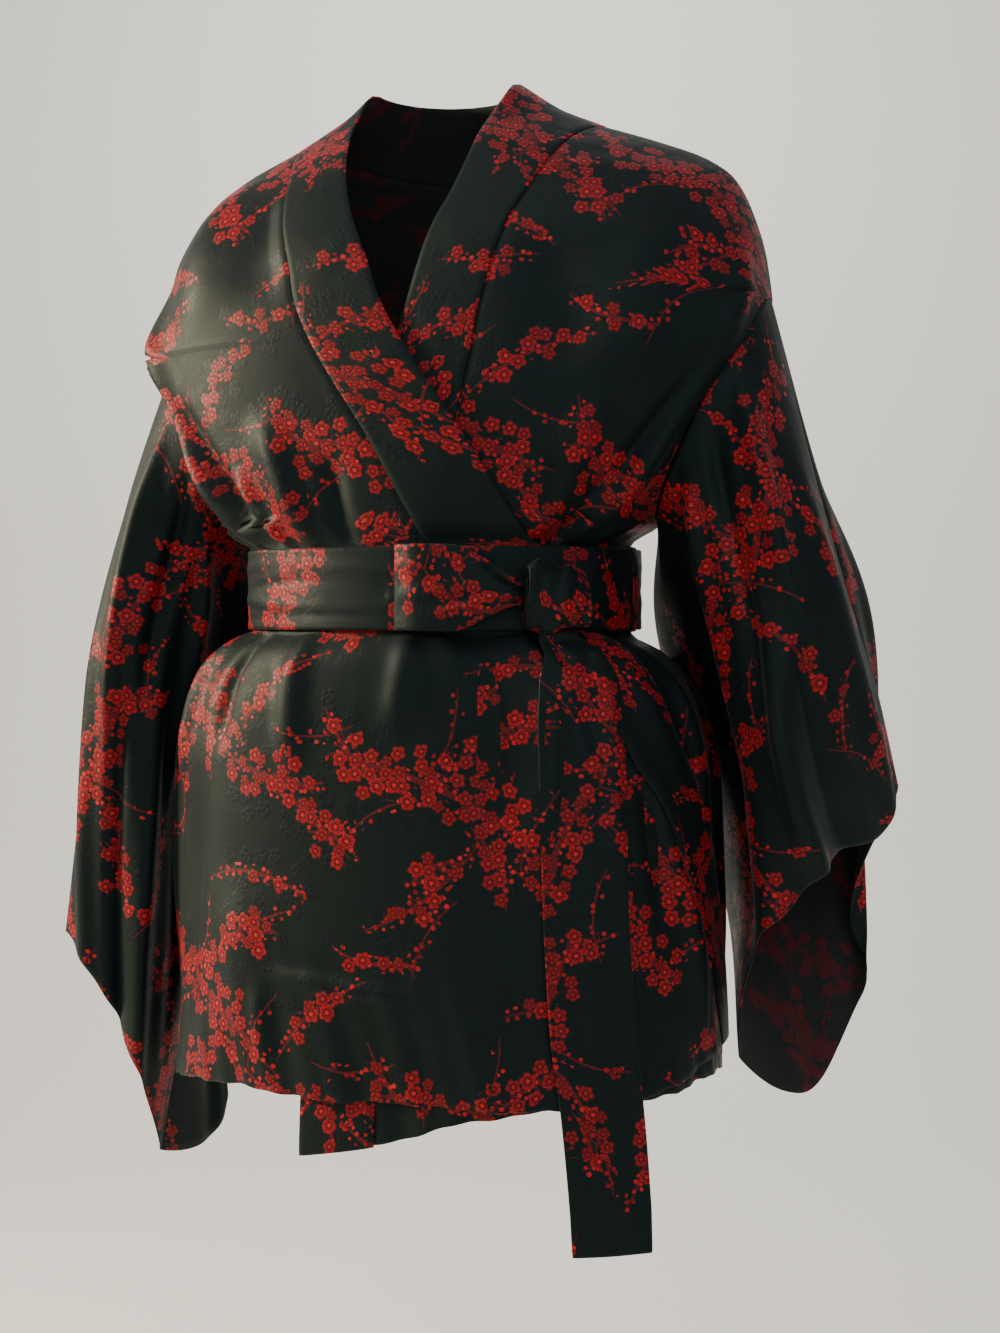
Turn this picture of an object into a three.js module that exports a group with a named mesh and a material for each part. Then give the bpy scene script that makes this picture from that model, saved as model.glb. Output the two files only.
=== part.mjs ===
// A short kimono-style wrap top, worn: two lapped fronts, a back, a neckband in two halves, two wide
// sleeves and a tied belt. Millimetres, +Z up, the front faces -Y and the wearer's left is +X.
// The origin is at the base of the neck, level with the neck ends of the shoulder seams.
import * as THREE from 'three';

// Cloth and seams
const clothThick = 1.2;
const seamGap = 0.3;
const sleeveStep = 1; // a sleeve starts this far down its own slope, where it turns off the body
const overLift = 4.6; // the lapping front stands this far off the under front
const beltWidth = 60;
const beltLift = 8.2;
const beltTop = -350;

// Armholes: heights of the top and the underarm, and how far they reach to front and back of the arm
const armholes = {
  right: { side: -1, top: -192, underarm: -330, front: 59, back: 52 },
  left: { side: 1, top: -160, underarm: -330, front: 59, back: 52 },
};

// Sections of the worn body by height: half width, shift to the wearer's left, depth to the front and to
// the back of the middle, the middle's place in Y, and how square the oval is
const bodySections = [
  { z: 15, half: 59, shift: 0, front: 22, back: 60, mid: 12, square: 2.0 },
  { z: -8, half: 90, shift: 3, front: 42, back: 74, mid: 16, square: 1.8 },
  { z: -22, half: 122, shift: 5, front: 58, back: 80, mid: 19, square: 1.6 },
  { z: -36, half: 160, shift: 8, front: 74, back: 84, mid: 21, square: 1.5 },
  { z: -52, half: 197, shift: 10, front: 87, back: 87, mid: 22, square: 1.55 },
  { z: -68, half: 216, shift: 12, front: 95, back: 90, mid: 22, square: 1.8 },
  { z: -90, half: 228, shift: 12, front: 104, back: 92, mid: 21, square: 2.1 },
  { z: -130, half: 240, shift: 12, front: 117, back: 94, mid: 19, square: 2.4 },
  { z: -190, half: 247, shift: 11, front: 126, back: 96, mid: 16, square: 2.4 },
  { z: -230, half: 233, shift: 8, front: 128, back: 95, mid: 14, square: 2.4 },
  { z: -262, half: 216, shift: 5, front: 127, back: 94, mid: 12, square: 2.4 },
  { z: -300, half: 194, shift: 2, front: 123, back: 94, mid: 8, square: 2.3 },
  { z: -330, half: 172, shift: 0, front: 117, back: 97, mid: 5, square: 2.2 },
  { z: -346, half: 148.5, shift: 0, front: 110.5, back: 100.5, mid: 2, square: 2.2 },
  { z: -360, half: 148, shift: 0, front: 110, back: 100, mid: 2, square: 2.2 },
  { z: -384, half: 148, shift: 0, front: 110, back: 100, mid: 2, square: 2.2 },
  { z: -402, half: 148, shift: 0, front: 110, back: 100, mid: 2, square: 2.2 },
  { z: -414, half: 149, shift: 0, front: 110.5, back: 101, mid: 2, square: 2.2 },
  { z: -428, half: 171, shift: 0, front: 119, back: 109, mid: 2, square: 2.2 },
  { z: -446, half: 189, shift: 0, front: 125, back: 116, mid: 3, square: 2.2 },
  { z: -474, half: 202, shift: 0, front: 129, back: 122, mid: 4, square: 2.2 },
  { z: -520, half: 211, shift: 0, front: 131, back: 126, mid: 5, square: 2.2 },
  { z: -600, half: 214, shift: 0, front: 133, back: 128, mid: 6, square: 2.2 },
  { z: -700, half: 218, shift: 0, front: 135, back: 128, mid: 6, square: 2.2 },
  { z: -830, half: 226, shift: 0, front: 138, back: 130, mid: 6, square: 2.2 },
];

// Free edge and neckband seam of each front: X by height, and past the belt the turn round the body
const overEdge = [
  { z: 15, x: -59 }, { z: -22, x: -63 }, { z: -60, x: -55 }, { z: -102, x: -40 },
  { z: -138, x: -22 }, { z: -165, x: -11 }, { z: -192, x: 5 }, { z: -272, x: 60 }, { z: -350, x: 104 },
];
const overTurn = [
  { z: -350, edge: 43, band: 28 }, { z: -380, edge: 52, band: 22 }, { z: -400, edge: 62, band: 23 },
  { z: -428, edge: 66, band: 21 }, { z: -462, edge: 67, band: 19 }, { z: -505, edge: 71, band: 18 },
  { z: -540, edge: 79, band: 18 }, { z: -600, edge: 89, band: 18 }, { z: -830, edge: 118, band: 20 },
];
const underEdge = [
  { z: 15, x: 58 }, { z: -27, x: 47 }, { z: -53, x: 44 }, { z: -84, x: 36 }, { z: -105, x: 27 },
  { z: -128, x: 20 }, { z: -167, x: 11 }, { z: -200, x: 3 }, { z: -272, x: -12 }, { z: -350, x: -26 },
  { z: -600, x: -58 }, { z: -748, x: -67 }, { z: -830, x: -57 },
];
const bandWidths = [
  { z: -22, over: 54, under: 79 }, { z: -40, over: 52, under: 66 }, { z: -60, over: 52, under: 60 },
  { z: -104, over: 59, under: 56 }, { z: -171, over: 69, under: 56 }, { z: -208, over: 72, under: 59 },
  { z: -350, over: 74, under: 60 }, { z: -830, over: 66, under: 60 },
];
const bandTop = 15; // height of the neckband's upper edge behind the neck
const bandFoot = { ridge: -22, backMiddle: -42 }; // height of its seam on the shoulder and behind

// Hem height by turn round the body, for the lapping front, the under front and the back
const overHem = [
  { turn: -90, z: -780 }, { turn: -40, z: -756 }, { turn: 35, z: -757 }, { turn: 65, z: -742 },
  { turn: 90, z: -726 }, { turn: 125, z: -722 },
];
const underHem = [
  { turn: -20, z: -804 }, { turn: 0, z: -788 }, { turn: 22, z: -762 }, { turn: 90, z: -744 },
];
const backHem = [
  { turn: 90, z: -744 }, { turn: 180, z: -768 }, { turn: 270, z: -780 },
];

// Sleeve sections from under the armhole to the cuff: the outer fold, the front, the inner fold, the back.
// Between them, a section may be pushed out of its round shape: halfway from outer fold to front, and so on.
const sleeveSections = {
  right: [
    {
      outer: [-273, 6, -300], front: [-226, -50, -372], inner: [-178, 62, -424], back: [-231, 86, -372],
      between: [[0, 0, 0], [-14, -2, 0], [0, 0, 0], [0, 0, 0]],
    },
    {
      outer: [-298, -2, -414], front: [-246, -54, -488], inner: [-214, 64, -552], back: [-256, 98, -490],
      between: [[0, 0, 0], [-14, -4, 0], [0, 0, 0], [0, 0, 0]],
    },
    { outer: [-314, -12, -532], front: [-259, -48, -612], inner: [-238, 34, -700], back: [-262, 92, -632] },
    { outer: [-325, -24, -662], front: [-266, -36, -744], inner: [-262, 20, -850], back: [-245, 95, -800] },
  ],
  left: [
    {
      outer: [284, 20, -272], front: [240, -48, -352], inner: [156, 66, -404], back: [246, 88, -350],
      between: [[0, 0, 0], [18, -2, 0], [0, 0, 0], [0, 0, 0]],
    },
    {
      outer: [312, 26, -376], front: [268, -58, -462], inner: [176, 118, -532], back: [284, 122, -462],
      between: [[0, 0, 0], [22, -6, 0], [0, 0, 0], [0, 0, 0]],
    },
    {
      outer: [336, 36, -462], front: [284, -54, -546], inner: [212, 84, -640], back: [302, 122, -580],
      between: [[2, 16, -12], [8, -4, 8], [3, 5, -8], [-16, 3, -8]],
    },
    {
      outer: [350, 44, -528], front: [294, -42, -597], inner: [240, -8, -732], back: [314, 108, -703],
      between: [[4, 30, -30], [-2, 0, 25], [8, 13, -24], [-40, 8, -23]],
    },
  ],
};

// Belt: the half-bow's loop lies along the belt, the tail hangs from the knot
const knotTurn = 45;
const knotHeight = -384;
const knotHalf = { along: 25, out: 15, up: 29 };
const loopFoldTurn = 3;
const loopHeight = 62;
const loopLift = { inner: 10.1, fold: 17, outer: 24 };
const tailSections = [
  { z: -412.4, from: 41, to: 51, lift: 24 }, { z: -428, from: 38.5, to: 54, lift: 15 },
  { z: -446, from: 34.8, to: 53.5, lift: 12 }, { z: -480, from: 32.4, to: 50.6, lift: 11 },
  { z: -520, from: 31.7, to: 50, lift: 10.5 }, { z: -604, from: 32, to: 49.8, lift: 10 },
  { z: -700, from: 33, to: 50.8, lift: 10 }, { z: -764, from: 34.8, to: 52, lift: 10.5 },
  { z: -861, from: 36.4, to: 53.1, lift: 9 },
];
const carrier = { turn: 84, half: 2.5, reach: 3 };

const radians = THREE.MathUtils.degToRad;
const lerp = THREE.MathUtils.lerp;
const fade = (a, b, v) => THREE.MathUtils.smoothstep(v, a, b);

// Smooth curve through a table's rows that never overshoots them: cubic pieces whose slope at each row is
// the harmonic mean of the slopes on both sides, or level at a turning point
function along(table, key, column, at) {
  const rows = table[0][key] < table[table.length - 1][key] ? table : [...table].reverse();
  const last = rows.length - 1;
  if (at <= rows[0][key]) return rows[0][column];
  if (at >= rows[last][key]) return rows[last][column];
  let i = 0;
  while (at > rows[i + 1][key]) i += 1;
  const rise = (k) => (rows[k + 1][column] - rows[k][column]) / (rows[k + 1][key] - rows[k][key]);
  const slope = (k) => {
    if (k === 0) return rise(0);
    if (k === last) return rise(last - 1);
    const [before, after] = [rise(k - 1), rise(k)];
    return before * after <= 0 ? 0 : (2 * before * after) / (before + after);
  };
  const step = rows[i + 1][key] - rows[i][key];
  const t = (at - rows[i][key]) / step;
  const [p, q] = [rows[i][column], rows[i + 1][column]];
  return p * (1 + 2 * t) * (1 - t) ** 2 + slope(i) * step * t * (1 - t) ** 2
    + q * t * t * (3 - 2 * t) + slope(i + 1) * step * t * t * (t - 1);
}

const section = (column, z) => along(bodySections, 'z', column, z);

// Point of the worn body's form: a squared oval, turn 0 at the front, 90 at the wearer's left, 180 behind
function bodyForm(turn, z) {
  const s = Math.sin(radians(turn));
  const c = Math.cos(radians(turn));
  const n = section('square', z);
  const r = (Math.abs(s) ** n + Math.abs(c) ** n) ** (-1 / n);
  const depth = c > 0 ? section('front', z) : section('back', z);
  const x = section('shift', z) + section('half', z) * r * s;
  return new THREE.Vector3(x, section('mid', z) - depth * r * c, z);
}

function bodyNormal(turn, z) {
  const across = bodyForm(turn + 0.5, z).sub(bodyForm(turn - 0.5, z));
  const up = bodyForm(turn, z + 1).sub(bodyForm(turn, z - 1));
  return across.cross(up).normalize();
}

const onBody = (turn, z, lift = 0) => ({
  point: bodyForm(turn, z).addScaledVector(bodyNormal(turn, z), lift),
  normal: bodyNormal(turn, z),
});

// Turn of the front point that has a given X
function turnOfX(x, z) {
  const n = section('square', z);
  const offset = x - section('shift', z);
  const share = Math.min(1, Math.abs(offset) / section('half', z));
  return Math.sign(offset) * THREE.MathUtils.radToDeg(Math.atan2(share, (1 - share ** n) ** (1 / n)));
}

// Turn where a panel ends at its side: the side seam, or the armhole between its top and the underarm
function sideTurn(armhole, z, toBack) {
  const middle = (armhole.top + armhole.underarm) / 2;
  const reach = (armhole.top - armhole.underarm) / 2;
  const inside = 1 - ((z - middle) / reach) ** 2;
  if (inside <= 0) return 90;
  const n = section('square', z);
  const depth = toBack ? section('back', z) : section('front', z);
  const share = ((toBack ? armhole.back : armhole.front) * Math.sqrt(inside)) / depth;
  const turn = THREE.MathUtils.radToDeg(Math.atan2((1 - share ** n) ** (1 / n), share));
  return toBack ? 180 - turn : turn;
}

const overEdgeTurn = (z) => (
  z > beltTop ? turnOfX(along(overEdge, 'z', 'x', z), z) : along(overTurn, 'z', 'edge', z));
const underEdgeTurn = (z) => turnOfX(along(underEdge, 'z', 'x', z), z);

function overSeamTurn(z) {
  if (z <= beltTop) return along(overTurn, 'z', 'edge', z) - along(overTurn, 'z', 'band', z);
  return turnOfX(along(overEdge, 'z', 'x', z) - along(bandWidths, 'z', 'over', z), z);
}

const underSeamTurn = (z) => turnOfX(along(underEdge, 'z', 'x', z) + along(bandWidths, 'z', 'under', z), z);

// The lapping front rises off the form just past the side seam, where the under front begins
const riseTurns = { from: -88, to: -52 };
const overRise = (turn) => overLift * fade(riseTurns.from, riseTurns.to, turn);

// Closed wall about a grid of middle points, each with its own normal. A looped grid joins end to end.
function wall(grid, looped = false, thick = clothThick) {
  const rows = grid.length;
  const columns = grid[0].length;
  const places = [];
  for (const side of [1, -1]) {
    for (const row of grid) {
      for (const { point, normal } of row) {
        const p = point.clone().addScaledVector(normal, (side * thick) / 2);
        places.push(p.x, p.y, p.z);
      }
    }
  }
  const at = (layer, j, i) => layer * rows * columns + j * columns + (i % columns);
  const faces = [];
  const quad = (a, b, c, d) => faces.push(a, b, c, a, c, d);
  const spans = looped ? columns : columns - 1;
  for (let j = 0; j < rows - 1; j += 1) {
    for (let i = 0; i < spans; i += 1) {
      quad(at(0, j, i), at(0, j + 1, i), at(0, j + 1, i + 1), at(0, j, i + 1));
      quad(at(1, j, i), at(1, j, i + 1), at(1, j + 1, i + 1), at(1, j + 1, i));
    }
    if (!looped) {
      quad(at(0, j, 0), at(1, j, 0), at(1, j + 1, 0), at(0, j + 1, 0));
      quad(at(0, j, spans), at(0, j + 1, spans), at(1, j + 1, spans), at(1, j, spans));
    }
  }
  for (let i = 0; i < spans; i += 1) {
    quad(at(0, 0, i), at(0, 0, i + 1), at(1, 0, i + 1), at(1, 0, i));
    quad(at(0, rows - 1, i), at(1, rows - 1, i), at(1, rows - 1, i + 1), at(0, rows - 1, i + 1));
  }
  const geometry = new THREE.BufferGeometry();
  geometry.setAttribute('position', new THREE.Float32BufferAttribute(places, 3));
  geometry.setIndex(faces);
  geometry.computeVertexNormals();
  return geometry;
}

// Draws the borders of a grid in by half a seam gap, each end of a row and each end of a column
function trimmed(grid, ends = true, tops = true) {
  const draw = (a, b) => a.point.add(b.point.clone().sub(a.point).setLength(seamGap / 2));
  if (ends) {
    for (const row of grid) {
      draw(row[0], row[1]);
      draw(row[row.length - 1], row[row.length - 2]);
    }
  }
  if (tops) {
    for (let i = 0; i < grid[0].length; i += 1) {
      draw(grid[0][i], grid[1][i]);
      draw(grid[grid.length - 1][i], grid[grid.length - 2][i]);
    }
  }
  return grid;
}

const span = (count) => Array.from({ length: count + 1 }, (_, i) => i / count);

// Heights of a panel's rows: close together over the shoulder and at the waist
const panelRows = [-22, -34, -48, -66, -92, -128, -160, -192, -230, -266, -300, -330, -346, -362, -384,
  -402, -414, -428, -446, -474, -520, -590, -670, -750];
// On the free edge the neckband's first rows start higher, because its strip turns over the shoulder
const edgeRows = [12, -3, -20, -42, -72, -116, ...panelRows.slice(6)];

// A row bends down to its hem over the lowest stretch of the panel
const hemFrom = -474;
const lastRow = panelRows[panelRows.length - 1];
const toHem = (z, hem) => (z < hemFrom ? lerp(hemFrom, hem, (z - hemFrom) / (lastRow - hemFrom)) : z);

const frontPlace = ({ hem, rise }, turn, row) => {
  const height = toHem(row, along(hem, 'turn', 'z', turn));
  return onBody(turn, height, rise(turn));
};

function frontPanel(front, armhole, columns) {
  const grid = panelRows.map((row) => {
    const [from, to] = [front.seam(row), armhole.side * sideTurn(armhole, row, false)];
    return span(columns).map((s) => frontPlace(front, lerp(from, to, s), row));
  });
  return wall(trimmed(armhole.side > 0 ? grid : grid.map((row) => row.reverse())));
}

const backColumns = 18;
const backDip = (turn) => (bandFoot.backMiddle - bandFoot.ridge) * fade(0, 1, 1 - Math.abs(turn - 180) / 90);

// The strip from the middle of the back, over the shoulder and down the front edge. Across it runs from
// the free edge to the seam, which lies lower than the edge over the shoulder.
function neckband(front, side) {
  const across = span(3);
  const behind = span(backColumns / 2 - 1).map((t) => {
    const turn = lerp(180, 90 + 180 / backColumns, t);
    return across.map((v) => onBody(side * turn, lerp(bandTop, bandFoot.ridge + backDip(turn), v)));
  });
  const before = panelRows.map((row, k) => {
    const [from, to] = [front.edge(edgeRows[k]), front.seam(row)];
    return across.map((v) => frontPlace(front, lerp(from, to, v), lerp(edgeRows[k], row, v)));
  });
  const grid = [...behind, ...before];
  return wall(trimmed(side > 0 ? grid : grid.map((row) => row.reverse())));
}

function backPanel() {
  const { right, left } = armholes;
  const grid = panelRows.map((row) => {
    const [from, to] = [sideTurn(left, row, true), 360 - sideTurn(right, row, true)];
    return span(backColumns).map((s) => {
      const turn = lerp(from, to, s);
      const dip = backDip(turn) * (1 - fade(22, 120, -row));
      return onBody(turn, toHem(row, along(backHem, 'turn', 'z', turn)) + dip);
    });
  });
  return wall(trimmed(grid));
}

// A point of the armhole's edge, on the straight stretch between the panel's rows above and below it
function armholeEdge(armhole, z, toBack) {
  const above = panelRows.filter((row) => row >= z).pop();
  const below = panelRows.find((row) => row < z) ?? above;
  const [high, low] = [above, below].map((row) => onBody(armhole.side * sideTurn(armhole, row, toBack), row));
  const share = above === below ? 0 : (above - z) / (above - below);
  const normal = high.normal.lerp(low.normal, share).normalize();
  return { point: high.point.lerp(low.point, share), normal };
}

// Loops round the arm: the first is the armhole itself, the others pass through the four points of a row.
// Angle 0 is the outer fold, 90 the front, 180 the inner fold, 270 the back.
function sleeve(name) {
  const armhole = armholes[name];
  const middle = (armhole.top + armhole.underarm) / 2;
  const reach = (armhole.top - armhole.underarm) / 2;
  const around = 20;
  const loops = span(around).slice(0, around).map((share) => {
    const angle = 2 * Math.PI * share;
    const z = Math.min(armhole.top, Math.max(armhole.underarm, middle + reach * Math.cos(angle)));
    const { point, normal } = armholeEdge(armhole, z, share > 0.5);
    const clear = 2 * (clothThick + seamGap) * fade(-0.2, 0.4, -Math.cos(angle));
    return { point: point.addScaledVector(normal, clear), normal, own: fade(0, 0.7, -Math.cos(angle)) };
  });
  const rings = [loops.map(({ point }) => point)];
  for (const row of sleeveSections[name]) {
    const corners = [row.outer, row.front, row.inner, row.back];
    const [outer, front, inner, back] = corners.map((at) => new THREE.Vector3(...at));
    const centre = outer.clone().lerp(inner, 0.5);
    rings.push(loops.map((_, i) => {
      const angle = (2 * Math.PI * i) / around;
      const toward = (Math.sin(angle) >= 0 ? front : back).clone().sub(centre);
      const p = centre.clone().addScaledVector(outer.clone().sub(centre), Math.cos(angle));
      p.addScaledVector(toward, Math.abs(Math.sin(angle)) ** 1.3);
      const push = row.between?.[Math.floor((4 * i) / around)];
      return push ? p.addScaledVector(new THREE.Vector3(...push), Math.sin(2 * angle) ** 2) : p;
    }));
  }
  const lines = loops.map((_, i) => new THREE.CatmullRomCurve3(rings.map((ring) => ring[i])));
  const points = span(9).map((t) => lines.map((line) => line.getPoint(t)));
  const grid = points.map((ring, j) => ring.map((point, i) => {
    const across = ring[(i + 1) % around].clone().sub(ring[(i + around - 1) % around]);
    const down = points[Math.min(j + 1, 9)][i].clone().sub(points[Math.max(j - 1, 0)][i]);
    const normal = across.cross(down).multiplyScalar(armhole.side).normalize();
    if (j > 0) return { point, normal };
    // the seam's wall follows the panel above and turns to the sleeve's own side towards the underarm
    return { point, normal: loops[i].normal.clone().lerp(normal, loops[i].own).normalize() };
  }));
  for (let i = 0; i < around; i += 1) {
    const first = grid[0][i].point;
    first.add(grid[1][i].point.clone().sub(first).setLength(sleeveStep));
  }
  return wall(armhole.side > 0 ? grid.map((row) => row.reverse()) : grid, true);
}

// A point off the body's waist, moved straight out from the section at the belt's middle
function offWaist(turn, z, lift) {
  const normal = bodyNormal(turn, knotHeight).setZ(0).normalize();
  return { point: bodyForm(turn, knotHeight).setZ(z).addScaledVector(normal, lift), normal };
}

function beltRing() {
  const around = 40;
  const turns = span(around).slice(0, around).map((t) => 360 * t);
  const heights = [beltTop, beltTop - beltWidth];
  return wall(heights.map((z) => turns.map((turn) => offWaist(turn, z, beltLift))), true);
}

// The loop of the half bow: out from the knot along the belt, round its fold and back over itself
function bowLoop() {
  const inward = span(6).map((t) => lerp(knotTurn - 12, loopFoldTurn + 3, t));
  const height = (turn) => loopHeight * lerp(1, 0.3, fade(knotTurn - 26, knotTurn - 12, turn));
  const steps = [
    ...inward.map((turn) => ({ turn, lift: loopLift.inner })),
    { turn: loopFoldTurn, lift: loopLift.fold },
    ...[...inward].reverse().map((turn) => ({ turn, lift: loopLift.outer })),
  ];
  const middle = knotHeight + 3;
  const grid = steps.map(({ turn, lift }) => span(3).map((v) => (
    offWaist(turn, middle + (0.5 - v) * height(turn), lift))));
  return wall(withOwnNormals(grid));
}

// Normals of a free grid, from the steps to the points on each side
function withOwnNormals(grid) {
  const rows = grid.length;
  const columns = grid[0].length;
  return grid.map((row, j) => row.map(({ point }, i) => {
    const down = grid[Math.min(j + 1, rows - 1)][i].point.clone().sub(grid[Math.max(j - 1, 0)][i].point);
    const across = row[Math.min(i + 1, columns - 1)].point.clone().sub(row[Math.max(i - 1, 0)].point);
    return { point, normal: down.cross(across).normalize() };
  }));
}

function knot() {
  const stand = beltLift + knotHalf.out + clothThick / 2 + seamGap;
  const { point, normal } = offWaist(knotTurn, knotHeight, stand);
  const ball = new THREE.SphereGeometry(1, 14, 9);
  ball.scale(knotHalf.along, knotHalf.out, knotHalf.up);
  ball.rotateZ(Math.atan2(normal.y, normal.x) + Math.PI / 2);
  ball.translate(point.x, point.y, point.z);
  return ball;
}

function tail() {
  const grid = tailSections.map(({ z, from, to, lift }) => span(3).map((v) => {
    const turn = lerp(from, to, v);
    const { point, normal } = onBody(turn, z);
    return { point: point.addScaledVector(normal.setZ(0).normalize(), lift), normal };
  }));
  return wall(withOwnNormals(grid));
}

function beltCarrier() {
  const { turn, half, reach } = carrier;
  const steps = [
    { z: beltTop + reach, lift: 2.5 }, { z: beltTop + 1.4, lift: beltLift + 1.6 },
    { z: beltTop - beltWidth - 1.4, lift: beltLift + 1.6 }, { z: beltTop - beltWidth - reach, lift: 2.5 },
  ];
  return wall(steps.map(({ z, lift }) => [-half, half].map((off) => offWaist(turn + off, z, lift))));
}

const fronts = {
  over: { edge: overEdgeTurn, seam: overSeamTurn, rise: overRise, hem: overHem },
  under: { edge: underEdgeTurn, seam: underSeamTurn, rise: () => 0, hem: underHem },
};

const pieces = {
  back: { shape: backPanel(), color: 0x151a18 },
  front_right: { shape: frontPanel(fronts.over, armholes.right, 24), color: 0x1b1f1d },
  front_left: { shape: frontPanel(fronts.under, armholes.left, 14), color: 0x171b1a },
  neckband_right: { shape: neckband(fronts.over, -1), color: 0x5a1216 },
  neckband_left: { shape: neckband(fronts.under, 1), color: 0x4a1014 },
  sleeve_right: { shape: sleeve('right'), color: 0x1d2120 },
  sleeve_left: { shape: sleeve('left'), color: 0x1d2120 },
  belt: { shape: beltRing(), color: 0x2a1214 },
  bow_loop: { shape: bowLoop(), color: 0x3a1416 },
  belt_knot: { shape: knot(), color: 0x241416 },
  belt_tail: { shape: tail(), color: 0x321214 },
  belt_carrier: { shape: beltCarrier(), color: 0x101312 },
};

const garment = new THREE.Group();
for (const [name, { shape, color }] of Object.entries(pieces)) {
  const satin = new THREE.MeshStandardMaterial({ color, roughness: 0.45, metalness: 0 });
  const mesh = new THREE.Mesh(shape, satin);
  mesh.name = name;
  garment.add(mesh);
}

export default garment;
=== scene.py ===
import math

import bpy
import numpy as np
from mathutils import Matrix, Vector


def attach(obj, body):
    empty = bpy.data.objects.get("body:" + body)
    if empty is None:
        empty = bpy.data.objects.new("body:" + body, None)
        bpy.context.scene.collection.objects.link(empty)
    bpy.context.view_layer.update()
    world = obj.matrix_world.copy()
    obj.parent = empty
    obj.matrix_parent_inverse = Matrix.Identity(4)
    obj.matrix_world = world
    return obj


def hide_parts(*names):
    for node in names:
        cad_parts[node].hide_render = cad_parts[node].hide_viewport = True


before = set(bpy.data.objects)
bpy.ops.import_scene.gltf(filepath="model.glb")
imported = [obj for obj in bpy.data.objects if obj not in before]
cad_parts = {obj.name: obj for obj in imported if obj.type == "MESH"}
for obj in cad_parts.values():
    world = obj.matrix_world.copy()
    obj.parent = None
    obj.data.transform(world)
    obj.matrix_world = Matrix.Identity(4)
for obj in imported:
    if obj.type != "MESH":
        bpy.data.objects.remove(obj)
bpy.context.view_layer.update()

# A worn kimono wrap top. Shapes are worked out in millimetres and put into the meshes in metres.
mm = 0.001
fine = 2  # grid steps are twice as many in the full version


# Camera, light and floor
viewing = dict(azimuth=20.0, distance=1.6, height=-0.403, aimAcross=0.045, aimHeight=-0.440,
               focalPixels=2025.0, pictureHeight=1333.0, sensor=24.0)


def makeCamera(v):
    a = math.radians(v["azimuth"])
    eye = Vector((math.sin(a) * v["distance"], -math.cos(a) * v["distance"], v["height"]))
    target = Vector((v["aimAcross"] * math.cos(a), v["aimAcross"] * math.sin(a), v["aimHeight"]))
    data = bpy.data.cameras.new("camera")
    data.sensor_fit = "VERTICAL"
    data.sensor_height = v["sensor"]
    data.lens = v["focalPixels"] / v["pictureHeight"] * v["sensor"]
    camera = bpy.data.objects.new("camera", data)
    camera.location = eye
    camera.rotation_euler = (target - eye).to_track_quat("-Z", "Y").to_euler()
    bpy.context.collection.objects.link(camera)
    bpy.context.scene.camera = camera


lamps = {
    "keyLamp": dict(place=(-2.1, -0.50, 0.25), aim=(-0.1, 0.0, -0.35), size=0.4, watts=100,
                    color=(1.0, 0.83, 0.60)),
    "fillLamp": dict(place=(1.3, -2.1, 0.3), aim=(0.1, 0.0, -0.4), size=1.5, watts=15, color=(0.80, 0.97, 1.0)),
    "wallLamp": dict(place=(-0.3, 1.3, 1.5), aim=(-1.1, 3.2, -0.5), size=1.4, watts=55,
                     color=(1.0, 0.97, 0.90)),
    "topLamp": dict(place=(-0.1, -0.9, 1.4), aim=(0.0, 0.0, -0.3), size=1.2, watts=9, color=(0.92, 1.0, 0.98)),
}


def makeLamp(name, v):
    data = bpy.data.lights.new(name, "AREA")
    data.size = v["size"]
    data.energy = v["watts"]
    data.color = v["color"]
    lamp = bpy.data.objects.new(name, data)
    lamp.location = v["place"]
    lamp.rotation_euler = (Vector(v["aim"]) - Vector(v["place"])).to_track_quat("-Z", "Y").to_euler()
    bpy.context.collection.objects.link(lamp)


studio = dict(floorHeight=-1.40, wallPlace=3.4, bend=1.2, halfWidth=7.0, front=-5.0, top=4.5,
              color=(0.84, 0.83, 0.79, 1), worldColor=(0.84, 0.87, 0.9, 1), worldStrength=0.46)


# The floor sweeps up into a wall: a profile of a line, a quarter circle and a line, drawn out sideways
def makeStudio(v):
    arc = np.linspace(0, math.pi / 2, 24)
    ys = np.concatenate([[v["front"]], v["wallPlace"] - v["bend"] + v["bend"] * np.sin(arc), [v["wallPlace"]]])
    zs = np.concatenate([[0], v["bend"] * (1 - np.cos(arc)), [v["top"] - v["floorHeight"]]]) + v["floorHeight"]
    turn = math.radians(viewing["azimuth"])
    grid = np.array([[(x, y, z) for x in (-v["halfWidth"], v["halfWidth"])] for y, z in zip(ys, zs)])
    x, y = grid[..., 0].copy(), grid[..., 1].copy()
    grid[..., 0] = x * math.cos(turn) - y * math.sin(turn)
    grid[..., 1] = x * math.sin(turn) + y * math.cos(turn)
    mesh = bpy.data.meshes.new("floor")
    steps = np.arange(len(ys) - 1) * 2
    strips = np.stack([steps, steps + 1, steps + 3, steps + 2], -1)
    mesh.from_pydata(grid.reshape(-1, 3).tolist(), [], strips.tolist())
    mesh.polygons.foreach_set("use_smooth", [True] * len(mesh.polygons))
    floor = bpy.data.objects.new("floor", mesh)
    bpy.context.collection.objects.link(floor)
    paint = bpy.data.materials.new("palePaint")
    paint.use_nodes = True
    shader = paint.node_tree.nodes["Principled BSDF"]
    shader.inputs["Base Color"].default_value = v["color"]
    shader.inputs["Roughness"].default_value = 0.9
    mesh.materials.append(paint)
    world = bpy.data.worlds.new("studio")
    world.use_nodes = True
    world.node_tree.nodes["Background"].inputs["Color"].default_value = v["worldColor"]
    world.node_tree.nodes["Background"].inputs["Strength"].default_value = v["worldStrength"]
    bpy.context.scene.world = world


makeCamera(viewing)
for lampName, lampValues in lamps.items():
    makeLamp(lampName, lampValues)
makeStudio(studio)
print("camera, lamps and floor are in place")


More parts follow.
